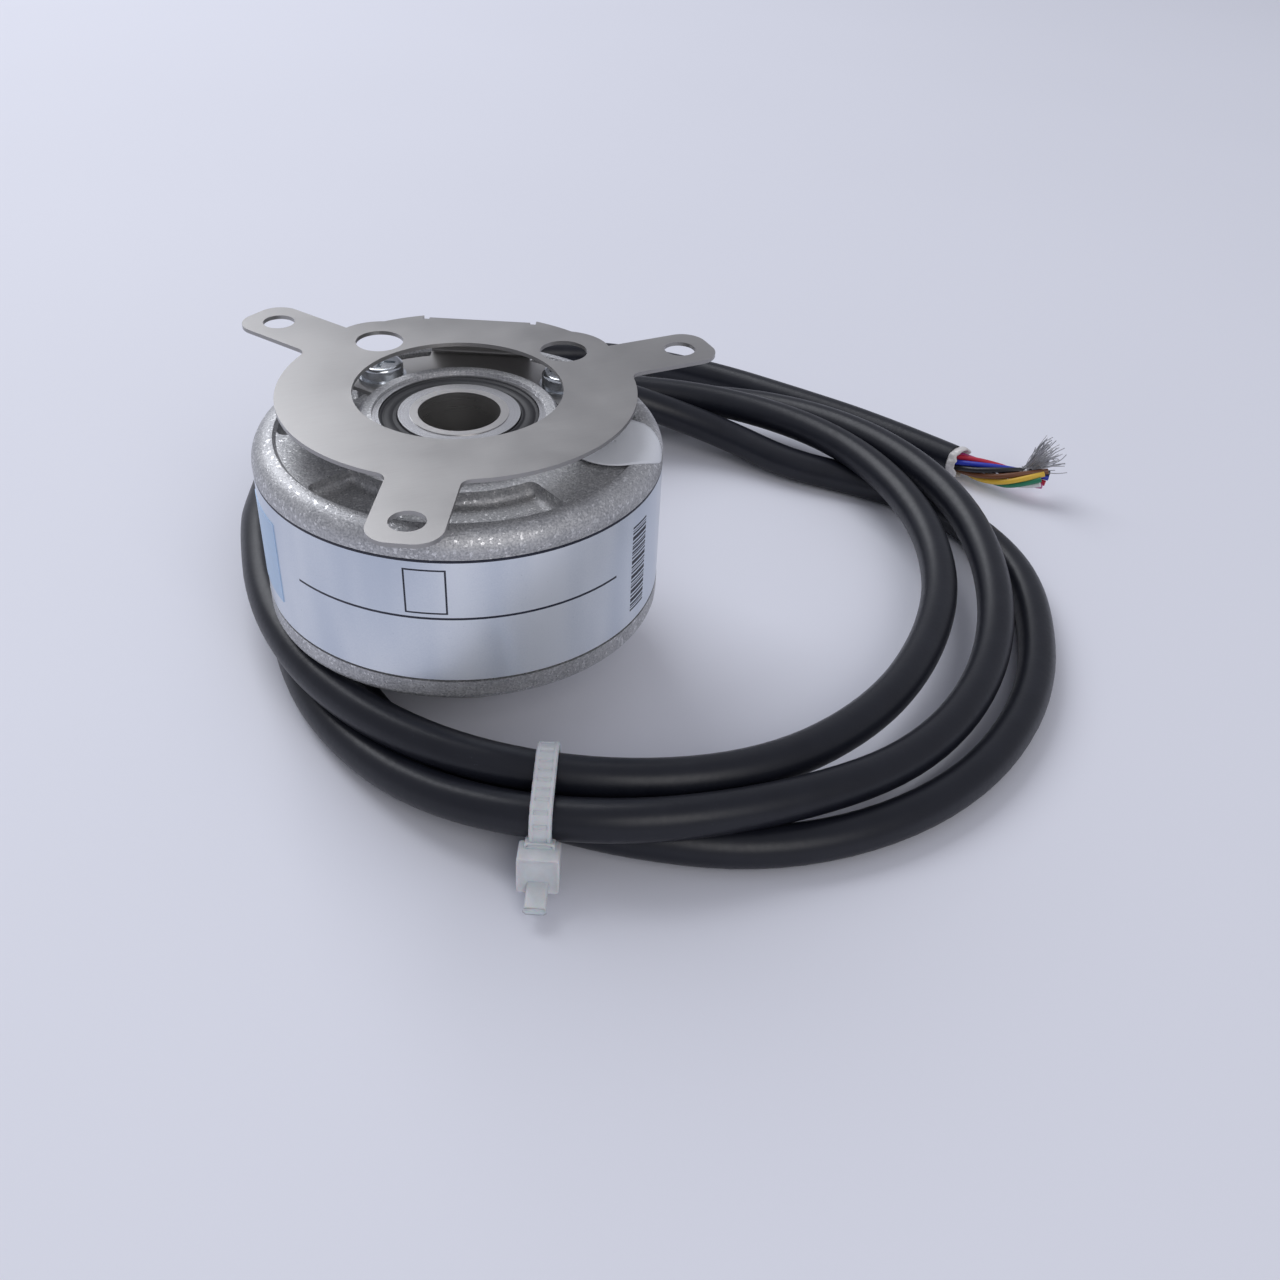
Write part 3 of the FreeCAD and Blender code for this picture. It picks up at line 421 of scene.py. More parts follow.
@dataclass(frozen=True)
class JacketFinish:
    """Smooth blue-black cable jacket with a satin skin and faint scuffs."""

    name: str = "cable jacket"
    colour: Colour = (0.005, 0.0058, 0.0105)

    def build(self) -> bpy.types.Material:
        """Returns: the finished material."""
        paint = Paint(self.name)
        spot = paint.place()
        skin = paint.noise(spot, 1.6, 4.0)
        ripple = paint.noise(spot, 0.22, 2.0)
        scuff = paint.noise(spot, 3.5, 3.0).smooth(0.66, 0.76) * ripple.smooth(0.45, 0.7)
        paint.set(Base_Color=paint.mix(scuff * 0.4 + ripple * 0.15, self.colour, (0.055, 0.06, 0.08)),
                  Roughness=0.37 + (skin - 0.5) * 0.18 + scuff * 0.2,
                  Specular_IOR_Level=0.38)
        paint.bump(skin * 0.4 + ripple * 0.6, 0.035)
        return paint.material


@dataclass(frozen=True)
class CloudyNylon:
    """Natural nylon: milky, soft and a little see-through."""

    name: str = "natural nylon"
    colour: Colour = (0.66, 0.68, 0.70)

    def build(self) -> bpy.types.Material:
        """Returns: the finished material."""
        paint = Paint(self.name)
        spot = paint.place()
        cloud = paint.noise(spot, 0.7, 3.0)
        fine = paint.noise(spot, 7.0, 2.0)
        paint.set(Base_Color=paint.mix(cloud, tuple(c * 0.88 for c in self.colour),
                                       tuple(c * 1.12 for c in self.colour)),
                  Roughness=0.32 + fine * 0.12,
                  Alpha=0.90 + cloud * 0.08)
        paint.set(Subsurface_Weight=0.35, Subsurface_Scale=0.001)
        paint.bump(fine, 0.012)
        return paint.material


def plain_finishes() -> Dict[str, PlainFinish]:
    """The finishes that are one colour and a grain.

    Returns:
        Finish by material slot.
    """
    fine, around, along = Grain.FINE, Grain.AROUND, Grain.ALONG
    return {
        "bearing_steel": PlainFinish("bearing steel",
                                     (0.60, 0.60, 0.61), 0.24, 0.92, around, 5.0, 0.006),
        "cage_steel": PlainFinish("cage steel", (0.50, 0.50, 0.51), 0.35, 0.9),
        "shaft_steel": PlainFinish("turned shaft steel",
                                   (0.50, 0.49, 0.48), 0.30, 0.9, around, 7.0, 0.012),
        "socket_screw": PlainFinish("black oxide", (0.03, 0.03, 0.033), 0.42, 0.6),
        "zinc_screw": PlainFinish("bright zinc", (0.70, 0.73, 0.76), 0.20, 0.95, fine, 3.0, 0.012),
        "black_rubber": PlainFinish("black rubber", (0.014, 0.014, 0.017), 0.55, 0.0, fine, 5.0, 0.02),
        "gasket": PlainFinish("gasket sheet", (0.06, 0.06, 0.06), 0.7),
        "sticker_paper": PlainFinish("white film",
                                     (0.76, 0.78, 0.82), 0.42, 0.0, fine, 3.0, 0.01, 0.05),
        "blue_sticker": PlainFinish("pale blue film",
                                    (0.45, 0.62, 0.86), 0.35, 0.0, fine, 1.4, 0.01, 0.22),
        "hub_alloy": PlainFinish("turned hub alloy", (0.66, 0.66, 0.67), 0.32, 0.9, around, 6.0, 0.01),
        "board": PlainFinish("green solder mask", (0.02, 0.17, 0.07), 0.35, 0.0, along, 1.6, 0.03, 0.3),
        "black_chip": PlainFinish("moulded chip package", (0.025, 0.025, 0.027), 0.6),
        "mask": PlainFinish("mask glass", (0.32, 0.35, 0.37), 0.12, 0.3, along, 12.0, 0.004),
        "holder_plastic": PlainFinish("black holder plastic", (0.04, 0.04, 0.04), 0.5),
        "lamp": PlainFinish("dark red epoxy", (0.22, 0.03, 0.05), 0.12, 0.0, fine, 2.0, 0.004),
        "terminal_plastic": PlainFinish("cream terminal", (0.76, 0.73, 0.63), 0.45),
        "core_wire": PlainFinish("wire insulation", (0.10, 0.11, 0.45), 0.4),
        "gland_plastic": PlainFinish("black gland nylon",
                                     (0.02, 0.02, 0.022), 0.42, 0.0, fine, 4.0, 0.02),
        "foil": PlainFinish("crumpled filler film",
                            (0.62, 0.60, 0.59), 0.45, 0.1, fine, 1.8, 0.09, 0.3),
        "tinned_braid": PlainFinish("tinned strands",
                                    (0.42, 0.42, 0.44), 0.32, 0.85, fine, 9.0, 0.004, 0.3),
    }


@dataclass
class FinishShelf:
    """Every finish, built once and handed out by material slot."""

    made: Dict[str, bpy.types.Material] = field(default_factory=dict)

    def stock(self) -> None:
        """Builds the finishes of all slots."""
        special: Dict[str, Any] = {
            "cast_housing": BlastedCasting(), "spring_sheet": RolledSheet(), "label_foil": PrintedFoil(),
            "disc_glass": LinedGlass(), "cable_jacket": JacketFinish(), "nylon": CloudyNylon(),
        }
        for slot, finish in {**plain_finishes(), **special}.items():
            self.made[slot] = finish.build()

    def dress(self, piece: bpy.types.Object, slot: str) -> None:
        """Gives a piece the finish of a slot.

        Args:
            piece: the object to dress.
            slot: the record's material slot.
        """
        piece.data.materials.clear()
        piece.data.materials.append(self.made[slot])


# ---------------------------------------------------------------- mesh helpers
def mesh_object(name: str, mesh: bmesh.types.BMesh, smooth: bool = True) -> bpy.types.Object:
    """Turns a bmesh into an object in the scene.

    Args:
        name: the piece's name.
        mesh: its geometry, freed here.
        smooth: shade its faces smooth.

    Returns:
        The new object.
    """
    data = bpy.data.meshes.new(name)
    bmesh.ops.recalc_face_normals(mesh, faces=mesh.faces[:])
    mesh.to_mesh(data)
    mesh.free()
    for polygon in data.polygons:
        polygon.use_smooth = smooth
    piece = bpy.data.objects.new(name, data)
    bpy.context.scene.collection.objects.link(piece)
    return piece


def loft(mesh: bmesh.types.BMesh, rows: Sequence[Sequence[Vector]], close_ends: bool = False) -> None:
    """Skins closed rows of points with quads.

    Args:
        mesh: where the faces go.
        rows: rows of equal length.
        close_ends: join the last row to the first.
    """
    made = [[mesh.verts.new(point) for point in row] for row in rows]
    count = len(made[0])
    last = len(made) if close_ends else len(made) - 1
    for i in range(last):
        upper = made[(i + 1) % len(made)]
        for j in range(count):
            k = (j + 1) % count
            mesh.faces.new((made[i][j], made[i][k], upper[k], upper[j]))


def turned_ring(name: str, profile: Sequence[Tuple[float, float]], steps: int = 160) -> bpy.types.Object:
    """A ring turned round the shaft from a closed profile in millimetres.

    Args:
        name: the piece's name.
        profile: (radius, height) corners.
        steps: facets round the ring.

    Returns:
        The ring.
    """
    mesh = bmesh.new()
    rows = []
    for i in range(steps):
        turn = 2 * math.pi * i / steps
        rows.append([Vector((r * MM * math.cos(turn), r * MM * math.sin(turn), z * MM)) for r, z in profile])
    loft(mesh, rows, close_ends=True)
    return mesh_object(name, mesh)


def spline(name: str, points: Sequence[Point], radius_mm: float, sides: int = 8) -> bpy.types.Object:
    """A round cord on a smooth curve whose control points are given in millimetres.

    Args:
        name: the piece's name.
        points: the control points.
        radius_mm: the cord's radius.
        sides: how finely its round is cut, per quarter.

    Returns:
        The curve object.
    """
    data = bpy.data.curves.new(name, "CURVE")
    data.dimensions = "3D"
    data.bevel_depth = radius_mm * MM
    data.bevel_resolution = sides
    data.resolution_u = 8
    data.use_fill_caps = True
    line = data.splines.new("NURBS")
    line.points.add(len(points) - 1)
    for control, (x, y, z) in zip(line.points, points):
        control.co = (x * MM, y * MM, z * MM, 1.0)
    line.order_u = 3
    line.use_endpoint_u = True
    line.use_smooth = True
    piece = bpy.data.objects.new(name, data)
    bpy.context.scene.collection.objects.link(piece)
    return piece


def hull(points: Sequence[Tuple[float, float]]) -> List[Tuple[float, float]]:
    """The convex outline of flat points, anticlockwise."""
    ordered = sorted(set(points))

    def half(run: Sequence[Tuple[float, float]]) -> List[Tuple[float, float]]:
        """One side of the outline."""
        side: List[Tuple[float, float]] = []
        for p in run:
            while len(side) > 1:
                (ax, ay), (bx, by) = side[-2], side[-1]
                if (bx - ax) * (p[1] - ay) - (by - ay) * (p[0] - ax) > 0:
                    break
                side.pop()
            side.append(p)
        return side[:-1]

    return half(ordered) + half(ordered[::-1])


# ---------------------------------------------------------------- sub-assemblies
@dataclass
class Encoder:
    """The encoder itself: its fixed parts come from the model and are dressed here."""

    shelf: FinishShelf
    nodes: Dict[str, bpy.types.Object]
    slots: Dict[str, str]

    def dress_all(self, hidden: Sequence[str]) -> None:
        """Dresses every carried-over part.

        Args:
            hidden: parts that a detailed piece stands for.
        """
        for name, piece in self.nodes.items():
            if name not in hidden:
                self.shelf.dress(piece, self.slots[name])
        LOG.info("dressed %d fixed parts", len(self.nodes) - len(hidden))


@dataclass
class BearingSeals:
    """Rubber seals of the two bearings, with their moulded ridges."""

    shelf: FinishShelf
    inner_mm: float = 7.45
    outer_mm: float = 9.68
    tops_mm: Tuple[float, float] = (35.0, 27.0)
    width_mm: float = 5.0
    sunk_mm: float = 0.2
    thick_mm: float = 0.33

    def profile(self, face: float, way: float) -> List[Tuple[float, float]]:
        """The closed section of one seal whose face looks up (way 1) or down (-1)."""
        ins, out = self.inner_mm, self.outer_mm
        back = -self.thick_mm
        lip = [(ins, -0.04), (ins + 0.14, 0.0), (ins + 0.30, 0.0), (ins + 0.40, -0.11)]
        field_ring = [(ins + 0.62, -0.13), (ins + 0.74, -0.03), (out - 0.62, -0.03), (out - 0.50, -0.14)]
        bead = [(out - 0.36, -0.14), (out - 0.26, -0.02), (out - 0.10, 0.0), (out, -0.05)]
        crest = [*lip, *field_ring, *bead, (out, back), (ins, back)]
        return [(r, face + way * dz) for r, dz in crest]

    def build(self) -> None:
        """Builds both bearings' seals."""
        names = ("front_bearing_seals", "rear_bearing_seals")
        for node, top in zip(names, self.tops_mm):
            faces = ((top, 1.0), (top - self.width_mm + 2 * self.sunk_mm, -1.0))
            for label, (face, way) in zip(("upper", "lower"), faces):
                piece = turned_ring(f"{node}_{label}", self.profile(face, way))
                self.shelf.dress(piece, "black_rubber")
                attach(piece, "stator")
                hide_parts(node)
        LOG.info("built the bearing seals")


@dataclass
class RoundSticker:
    """Blank white round sticker that drapes over the housing's rounded shoulder."""

    shelf: FinishShelf
    centre_mm: Tuple[float, float] = (18.9, -2.0)
    radius_mm: float = 5.9
    rim_mm: float = 22.4
    round_mm: float = 2.6
    rim_top_mm: float = 33.4
    film_mm: float = 0.09
    gap_mm: float = 0.03
    wrap: float = 0.97
    middle_share: float = 0.02

    def height(self, reach: float) -> float:
        """Height of the sticker's underside at a distance from the shaft's axis."""
        beyond = max(0.0, min(reach - self.rim_mm, self.round_mm * self.wrap))
        drop = self.round_mm - math.sqrt(self.round_mm ** 2 - beyond ** 2)
        return self.rim_top_mm - drop + self.gap_mm

    def sheet(self, lift: float, rings: int = 14, steps: int = 72) -> List[List[Vector]]:
        """Rows of points over the disc, lifted off its underside."""
        rows = []
        for i in range(rings + 1):
            row = []
            for j in range(steps):
                turn = 2 * math.pi * j / steps
                out = self.radius_mm * max(i, self.middle_share) / rings
                x = self.centre_mm[0] + out * math.cos(turn)
                y = self.centre_mm[1] + out * math.sin(turn)
                z = self.height(math.hypot(x, y)) + lift
                row.append(Vector((x * MM, y * MM, z * MM)))
            rows.append(row)
        return rows

    def build(self) -> None:
        """Builds the sticker."""
        mesh = bmesh.new()
        top = self.sheet(self.film_mm)
        low = self.sheet(0.0)
        loft(mesh, low[::-1] + top, close_ends=True)
        piece = mesh_object("round_sticker", mesh)
        self.shelf.dress(piece, "sticker_paper")
        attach(piece, "stator")
        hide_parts("seal_sticker")
        LOG.info("built the round sticker")


@dataclass
class Cable:
    """The free cable: out of the gland, three loose loops, and the tail to its bare end."""

    shelf: FinishShelf
    radius_mm: float = 2.5
    length_m: float = 1.07
    centre_mm: Tuple[float, float] = (20.0, 14.0)
    step: float = 22.5
    lead: Tuple[Point, ...] = (
        (0.0, 35.2, 19.0), (0.3, 43.5, 18.3), (4.5, 52.0, 15.0), (13.5, 57.0, 10.8),
        (25.0, 57.6, 7.2), (36.2, 54.6, 4.6), (46.0, 48.9, 3.0))
    low_loop: Tuple[Tuple[float, float, float], ...] = (
        (41.0, 47.4, 2.6), (29.0, 53.6, 2.5), (14.0, 57.6, 2.5), (0.0, 58.9, 2.5), (-22.5, 59.3, 2.5),
        (-45.0, 58.9, 2.5), (-67.5, 56.3, 2.6), (-90.0, 51.7, 3.7), (-112.5, 47.0, 2.6), (-135.0, 43.4, 2.5),
        (-157.5, 41.4, 2.5), (-180.0, 41.3, 2.5), (-202.5, 42.0, 2.5), (-225.0, 44.6, 2.5),
        (-247.5, 48.8, 2.7))
    middle_loop: Tuple[Tuple[float, float, float], ...] = (
        (90.0, 52.6, 4.0), (67.5, 54.2, 5.8), (45.0, 54.3, 7.3), (22.5, 54.2, 7.0), (0.0, 52.9, 6.0),
        (-22.5, 52.9, 5.0), (-45.0, 53.3, 5.2), (-67.5, 52.8, 6.8), (-90.0, 54.6, 7.9), (-112.5, 52.2, 4.6),
        (-135.0, 48.6, 2.6), (-157.5, 46.6, 2.6), (-180.0, 46.5, 2.6), (-202.5, 47.3, 3.2),
        (-225.0, 48.3, 6.2), (-247.5, 49.0, 8.0))
    top_loop: Tuple[Tuple[float, float, float], ...] = (
        (90.0, 48.7, 7.8), (67.5, 48.8, 7.6), (45.0, 48.5, 7.5), (22.5, 47.0, 6.8), (0.0, 45.4, 6.0),
        (-22.5, 44.3, 6.0), (-45.0, 45.5, 6.5), (-67.5, 47.9, 7.6), (-90.0, 48.5, 8.4), (-112.5, 48.2, 8.0),
        (-135.0, 48.0, 7.5), (-157.5, 48.6, 7.5), (-180.0, 51.0, 7.5))
    tail: Tuple[Point, ...] = (
        (-33.4, 22.0, 6.6), (-34.6, 38.0, 5.9), (-30.6, 56.0, 4.6), (-20.6, 73.0, 3.4), (-4.6, 84.6, 2.8),
        (14.2, 87.6, 2.6), (33.0, 81.6, 2.6), (49.2, 72.2, 2.6), (62.6, 63.8, 2.6), (74.3, 54.0, 2.6))

    def loops(self) -> List[Point]:
        """Control points of the three loops, put a little outside the line that they hold."""
        spare = 1 / math.cos(math.radians(self.step / 2))
        points = []
        for loop in (self.low_loop, self.middle_loop, self.top_loop):
            for degrees, reach, height in loop:
                turn = math.radians(degrees)
                out = reach * spare
                points.append((self.centre_mm[0] + out * math.cos(turn),
                               self.centre_mm[1] + out * math.sin(turn), height))
        return points

    def build(self, end_pieces: Sequence[bpy.types.Object]) -> bpy.types.Object:
        """Builds the cable.

        Args:
            end_pieces: the separate pieces on its stripped end and round its loops; not used.

        Returns:
            The cable.
        """
        points = list(self.lead) + self.loops() + list(self.tail)
        cable = spline("cable", points, self.radius_mm, sides=10)
        self.shelf.dress(cable, "cable_jacket")
        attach(cable, "stator")
        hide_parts("cable_lead", "cable_coil", "cable_tail")
        LOG.info("built the cable, %.2f m", self.length_m)
        return cable


@dataclass
class NylonTie:
    """Narrow nylon tie round the loops: ridged band, bulky head and the cut end of its tail."""

    shelf: FinishShelf
    middle_mm: float = 13.75
    width_mm: float = 2.5
    thick_mm: float = 1.0
    strands: Tuple[Tuple[float, float], ...] = ((-36.3, 3.1), (-39.6, 7.0), (-33.8, 8.2))
    strand_r: float = 2.62
    steps: int = 240
    ridges: int = 26
    strand_steps: int = 48
    floor_gap_mm: float = 0.15
    smooth_share: float = 0.35
    ridge_mm: float = 0.16

    def outline(self) -> List[Tuple[Vector, Vector]]:
        """Points and outward directions round the tied strands, evenly spaced."""
        samples = []
        for y, z in self.strands:
            for i in range(self.strand_steps):
                turn = 2 * math.pi * i / self.strand_steps
                samples.append((y + self.strand_r * math.cos(turn),
                                max(self.floor_gap_mm, z + self.strand_r * math.sin(turn))))
        corners = hull(samples)
        lengths = [math.dist(a, b) for a, b in zip(corners, corners[1:] + corners[:1])]
        total = sum(lengths)
        points: List[Vector] = []
        index, gone = 0, 0.0
        for i in range(self.steps):
            want = total * i / self.steps
            while gone + lengths[index] < want:
                gone += lengths[index]
                index += 1
            a, b = corners[index], corners[(index + 1) % len(corners)]
            share = (want - gone) / lengths[index]
            points.append(Vector((a[0] + (b[0] - a[0]) * share, a[1] + (b[1] - a[1]) * share)))
        result = []
        for i, point in enumerate(points):
            along = points[(i + 3) % self.steps] - points[i - 3]
            result.append((point, Vector((along.y, -along.x)).normalized()))
        return result

    def band(self) -> bpy.types.Object:
        """The band, with its ladder of ridges between two smooth rails."""
        half = self.width_mm / 2
        rail = self.thick_mm * 0.92
        rows = []
        for i, (point, out) in enumerate(self.outline()):
            phase = (i * self.ridges / self.steps) % 1.0
            rise = self.thick_mm * 0.72 + (0.0 if phase < self.smooth_share else self.ridge_mm)
            section = [(-half, 0.0), (-half, rise - 0.14), (-half + 0.14, rail), (-half + 0.42, rail),
                       (-half + 0.52, rise), (half - 0.52, rise), (half - 0.42, rail), (half - 0.14, rail),
                       (half, rise - 0.14), (half, 0.0)]
            row = []
            for across, lift in section:
                spot = point + out * lift
                row.append(Vector(((self.middle_mm + across) * MM, spot.x * MM, max(0.02, spot.y) * MM)))
            rows.append(row)
        mesh = bmesh.new()
        loft(mesh, rows, close_ends=True)
        return mesh_object("tie_band", mesh, smooth=False)

    def block(self, name: str, centre: Point, size: Point, tilt: float, dent: float) -> bpy.types.Object:
        """A rounded block with a sunken window in its front.

        Args:
            name: the piece's name.
            centre: its centre in millimetres.
            size: its full sizes in millimetres.
            tilt: lean about the X axis, in degrees.
            dent: how deep the window in its front is, in millimetres.

        Returns:
            The block.
        """
        mesh = bmesh.new()
        bmesh.ops.create_cube(mesh, size=1.0)
        bmesh.ops.scale(mesh, vec=[c * MM for c in size], verts=mesh.verts[:])
        front = min(mesh.faces, key=lambda f: f.calc_center_median().y)
        bmesh.ops.inset_individual(mesh, faces=[front], thickness=min(size[0], size[2]) * 0.2 * MM)
        bmesh.ops.translate(mesh, vec=(0, dent * MM, 0), verts=front.verts[:])
        bmesh.ops.bevel(mesh, geom=mesh.edges[:], offset=0.28 * MM, segments=3, affect="EDGES", profile=0.5)
        turn = Matrix.Rotation(math.radians(tilt), 4, "X")
        mesh.transform(Matrix.Translation([c * MM for c in centre]) @ turn)
        return mesh_object(name, mesh)

    def build(self) -> List[bpy.types.Object]:
        """Returns: the tie's pieces."""
        head = self.block("tie_head", (self.middle_mm, -44.1, 3.7), (4.7, 3.6, 4.6), -8.0, 0.5)
        collar = self.block("tie_head_collar", (self.middle_mm, -42.9, 4.9), (3.4, 2.2, 2.8), -20.0,
                            0.2)
        tail = self.block("tie_cut_tail", (self.middle_mm, -47.0, 2.3), (2.4, 4.0, 0.9), 6.0, 0.1)
        pieces = [self.band(), head, collar, tail]
        for piece in pieces:
            self.shelf.dress(piece, "nylon")
            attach(piece, "stator")
            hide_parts("cable_tie")
        LOG.info("built the cable tie")
        return pieces


class Insulation(Enum):
    """Colours of the stripped cores."""

    BLUE = (0.02, 0.04, 0.42)
    RED = (0.50, 0.02, 0.05)
    MAGENTA = (0.42, 0.05, 0.20)
    WHITE = (0.70, 0.70, 0.70)
    GREEN = (0.02, 0.20, 0.11)
    YELLOW = (0.72, 0.46, 0.05)
    BROWN = (0.16, 0.06, 0.025)
    BLACK = (0.015, 0.015, 0.018)


@dataclass
class StrippedEnd:
    """The bare end: crumpled filler, twisted cores in several colours and the frayed braid."""

    shelf: FinishShelf
    start: Point = (74.3, 54.0, 2.6)
    core_line: Tuple[Point, ...] = (
        (73.4, 54.7, 2.6), (77.0, 51.6, 2.7), (81.0, 49.0, 3.0), (84.6, 47.4, 3.4), (88.0, 46.8, 4.0))
    film_rings: Tuple[Tuple[float, float], ...] = (
        (-0.9, 1.9), (0.0, 2.25), (0.7, 2.6), (1.5, 2.85), (2.1, 2.6), (1.6, 2.15), (0.8, 1.8), (0.1, 1.5))
    film_steps: int = 36
    film_gap_mm: float = 0.12
    braid_root: Point = (84.4, 47.9, 4.3)
    braid_points: int = 6
    braid_top_mm: float = 10.6
    braid_reach_mm: float = 93.6
    core_mm: float = 0.46
    strand_mm: float = 0.07
    strands: int = 90
    lay_turns: float = 0.55

    def direction(self) -> Vector:
        """The way that the cable points at its end."""
        return (Vector(self.core_line[1]) - Vector(self.core_line[0])).normalized()

    def sideways(self) -> Vector:
        """The level direction across the cable's end."""
        return self.direction().cross(Vector((0, 0, 1))).normalized()

    def filler(self) -> bpy.types.Object:
        """The flared, crumpled collar of filler film where the jacket stops."""
        draw = random.Random(5)
        ahead, side = self.direction(), self.sideways()
        up = side.cross(ahead)
        count = self.film_steps
        waves = [draw.uniform(-1, 1) for _ in range(count)]
        rows = []
        for step, (forward, reach) in enumerate(self.film_rings):
            row = []
            for i in range(count):
                turn = 2 * math.pi * i / count
                fold = waves[(i * 5 + step * 7) % count] * 0.16 + waves[i] * 0.2 * (1 if 1 < step < 6 else 0.3)
                out = reach + fold
                forth = forward + waves[(i * 3 + 11) % count] * 0.45 * (1 if 2 <= step <= 5 else 0.2)
                round_it = side * out * math.cos(turn) + up * out * math.sin(turn)
                spot = Vector(self.start) + ahead * forth + round_it
                spot.z = max(spot.z, self.film_gap_mm)
                row.append(spot * MM)
            rows.append(row)
        mesh = bmesh.new()
        loft(mesh, rows)
        piece = mesh_object("filler_collar", mesh)
        smoother = piece.modifiers.new("soften", "SUBSURF")
        smoother.levels = 1
        smoother.render_levels = 2
        return piece

    def cores(self) -> List[bpy.types.Object]:
        """The twisted cores, each on its own smooth line round the shared one."""
        made = []
        count = len(Insulation)
        last = len(self.core_line) - 1
        side = self.sideways()
        for index, tint in enumerate(Insulation):
            points = []
            for k, (x, y, z) in enumerate(self.core_line):
                share = k / last
                turn = 2 * math.pi * (index / count + self.lay_turns * share)
                spread = 1.35 + 0.35 * math.sin(math.pi * share) * (1 if index % 3 else 0.3)
                spot = Vector((x, y, z)) + side * spread * math.cos(turn) * 1.05
                rise = spot.z + spread * math.sin(turn) * 0.95
                points.append((spot.x, spot.y, max(self.core_mm + 0.05, rise)))
            name = tint.name.lower()
            piece = spline(f"core_{name}", points, self.core_mm, sides=4)
            finish = PlainFinish(f"insulation {name}", tint.value, 0.38, 0.0, Grain.FINE, 3.0, 0.01)
            piece.data.materials.append(finish.build())
            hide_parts("stripped_cores")
            made.append(piece)
        return made

    def braid(self) -> bpy.types.Object:
        """The frayed shield: fine tinned strands that fan up and out from among the cores."""
        draw = random.Random(11)
        data = bpy.data.curves.new("frayed_braid", "CURVE")
        data.dimensions = "3D"
        data.bevel_depth = self.strand_mm * MM
        data.bevel_resolution = 1
        data.resolution_u = 4
        root = Vector(self.braid_root)
        for _ in range(self.strands):
            lean = draw.uniform(-0.9, 1.0)
            rise = draw.uniform(0.15, 1.0)
            reach = draw.uniform(4.2, 7.6)
            heading = Vector((0.86 - 0.45 * rise + 0.12 * lean, 0.18 + 0.42 * lean, rise * 0.85)).normalized()
            points = []
            for k in range(self.braid_points):
                share = k / (self.braid_points - 1)
                jitter = Vector([draw.uniform(-1, 1) for _ in range(3)]) * 0.42 * share
                spread = Vector((draw.uniform(-1, 1), draw.uniform(-1.2, 1.2), draw.uniform(-0.9, 0.9)))
                spot = root + (spread * 0.8 if k == 0 else heading * reach * share + jitter)
                spot.z = min(max(spot.z, self.film_gap_mm + 0.03), self.braid_top_mm)
                spot.x = min(spot.x, self.braid_reach_mm)
                points.append(spot)
            line = data.splines.new("NURBS")
            line.points.add(len(points) - 1)
            for control, spot in zip(line.points, points):
                control.co = (*(spot * MM), 1.0)
            line.order_u = 4
            line.use_endpoint_u = True
        piece = bpy.data.objects.new("frayed_braid", data)
        bpy.context.scene.collection.objects.link(piece)
        return piece

    def build(self) -> List[bpy.types.Object]:
        """Returns: the pieces of the stripped end."""
        collar = self.filler()
        self.shelf.dress(collar, "foil")
        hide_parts("cable_foil")
        braid = self.braid()
        self.shelf.dress(braid, "tinned_braid")
        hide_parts("shield_braid")
        pieces = [collar, braid, *self.cores()]
        for piece in pieces:
            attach(piece, "stator")
        LOG.info("built the stripped end")
        return pieces


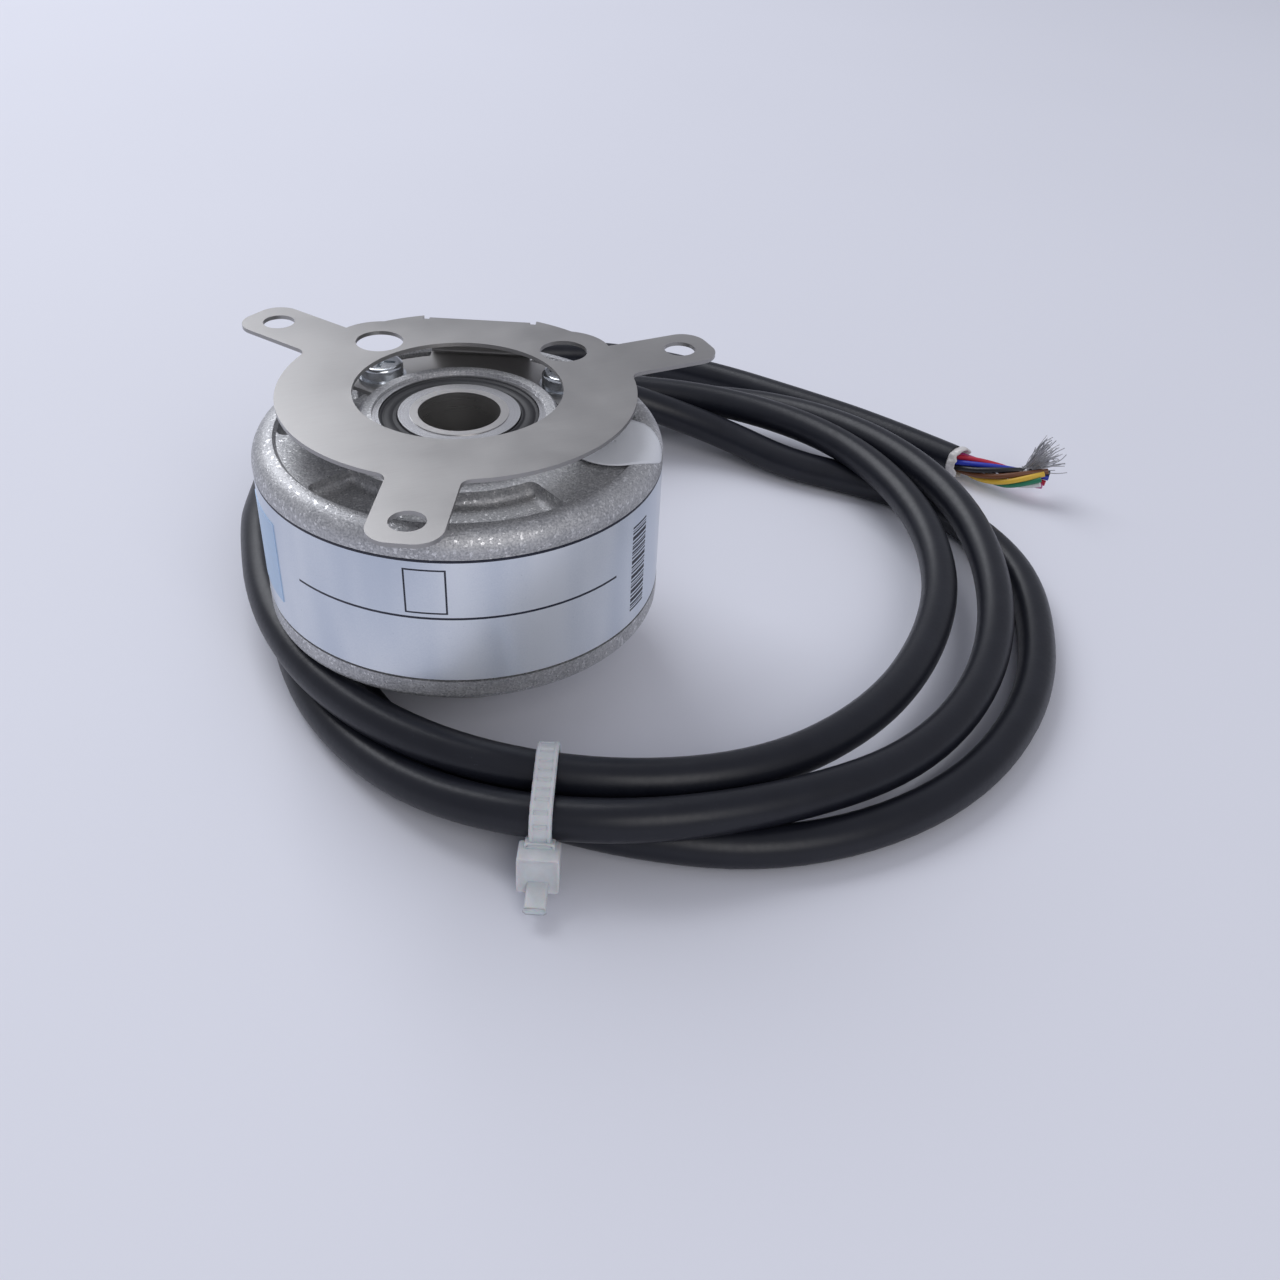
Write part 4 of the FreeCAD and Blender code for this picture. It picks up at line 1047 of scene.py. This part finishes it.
# ---------------------------------------------------------------- studio
@dataclass
class Studio:
    """Floor, light and camera."""

    floor_colour: Colour = (0.78, 0.79, 0.86)
    sky_colour: Colour = (0.80, 0.82, 0.92)
    camera_at: Point = (23.64, -143.16, 111.19)
    camera_right: Point = (0.99849, 0.03455, 0.04265)
    camera_down: Point = (0.05486, -0.60558, -0.79389)
    lens: float = 37.1
    floor_half_m: float = 6.0
    sky_strength: float = 0.46
    aim_m: Point = (0.01, 0.01, 0.02)

    def floor(self) -> None:
        """Lays the pale floor."""
        mesh = bmesh.new()
        bmesh.ops.create_grid(mesh, x_segments=2, y_segments=2, size=self.floor_half_m)
        piece = mesh_object("floor", mesh)
        paint = Paint("pale floor")
        cloud = paint.noise(paint.place(), 0.01, 1.0)
        darker = tuple(c * 0.97 for c in self.floor_colour)
        paint.set(Base_Color=paint.mix(cloud, self.floor_colour, darker),
                  Roughness=0.55, Specular_IOR_Level=0.3)
        piece.data.materials.append(paint.material)
        piece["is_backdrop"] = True

    def world(self) -> None:
        """A soft even sky."""
        world = bpy.data.worlds.new("studio sky")
        world.use_nodes = True
        back = world.node_tree.nodes["Background"]
        back.inputs[0].default_value = (*self.sky_colour, 1.0)
        back.inputs[1].default_value = self.sky_strength
        bpy.context.scene.world = world

    def lamp(self, name: str, at: Point, size: float, watts: float, tint: Colour) -> None:
        """Hangs a square soft lamp that looks at the object."""
        data = bpy.data.lights.new(name, "AREA")
        data.size = size
        data.energy = watts
        data.color = tint
        piece = bpy.data.objects.new(name, data)
        piece.location = at
        aim = Vector(self.aim_m) - Vector(at)
        piece.rotation_euler = aim.to_track_quat("-Z", "Y").to_euler()
        bpy.context.scene.collection.objects.link(piece)

    def camera(self) -> None:
        """Puts the camera in its place."""
        data = bpy.data.cameras.new("camera")
        data.lens = self.lens
        data.clip_start = 0.01
        piece = bpy.data.objects.new("camera", data)
        right, down = Vector(self.camera_right), Vector(self.camera_down)
        back = right.cross(-down)
        frame = Matrix((right, -down, back)).transposed().to_4x4()
        piece.matrix_world = Matrix.Translation(Vector(self.camera_at) * MM) @ frame
        bpy.context.scene.collection.objects.link(piece)
        bpy.context.scene.camera = piece

    def build(self) -> None:
        """Sets the stage."""
        self.floor()
        self.world()
        self.lamp("window", (-0.45, 0.55, 0.75), 0.7, 5.6, (0.93, 0.95, 1.0))
        self.lamp("front fill", (0.35, -0.75, 0.65), 0.6, 2.6, (1.0, 0.98, 0.97))
        self.camera()
        bpy.context.scene.view_settings.view_transform = "Standard"
        LOG.info("set the stage")


def main() -> Dict[str, Any]:
    """Builds the whole scene in order.

    Returns:
        The two boxes of the object: straight after loading and when finished.
    """
    logging.basicConfig(level=logging.INFO, format="%(message)s")
    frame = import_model()
    cad_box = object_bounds()
    slots = {part["node"]: part["material_slot"] for part in frame["record"]["subparts"]}
    Studio().build()
    shelf = FinishShelf()
    shelf.stock()
    hidden = ("front_bearing_seals", "rear_bearing_seals", "seal_sticker", "cable_lead", "cable_coil",
              "cable_tail", "cable_tie", "cable_foil", "stripped_cores", "shield_braid")
    Encoder(shelf, frame["nodes"], slots).dress_all(hidden)
    BearingSeals(shelf).build()
    RoundSticker(shelf).build()
    on_cable = NylonTie(shelf).build() + StrippedEnd(shelf).build()
    Cable(shelf).build(on_cable)
    boxes = {"cad": [list(corner) for corner in cad_box], "visual": [list(corner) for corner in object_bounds()]}
    return boxes


if __name__ == "__main__":
    main()
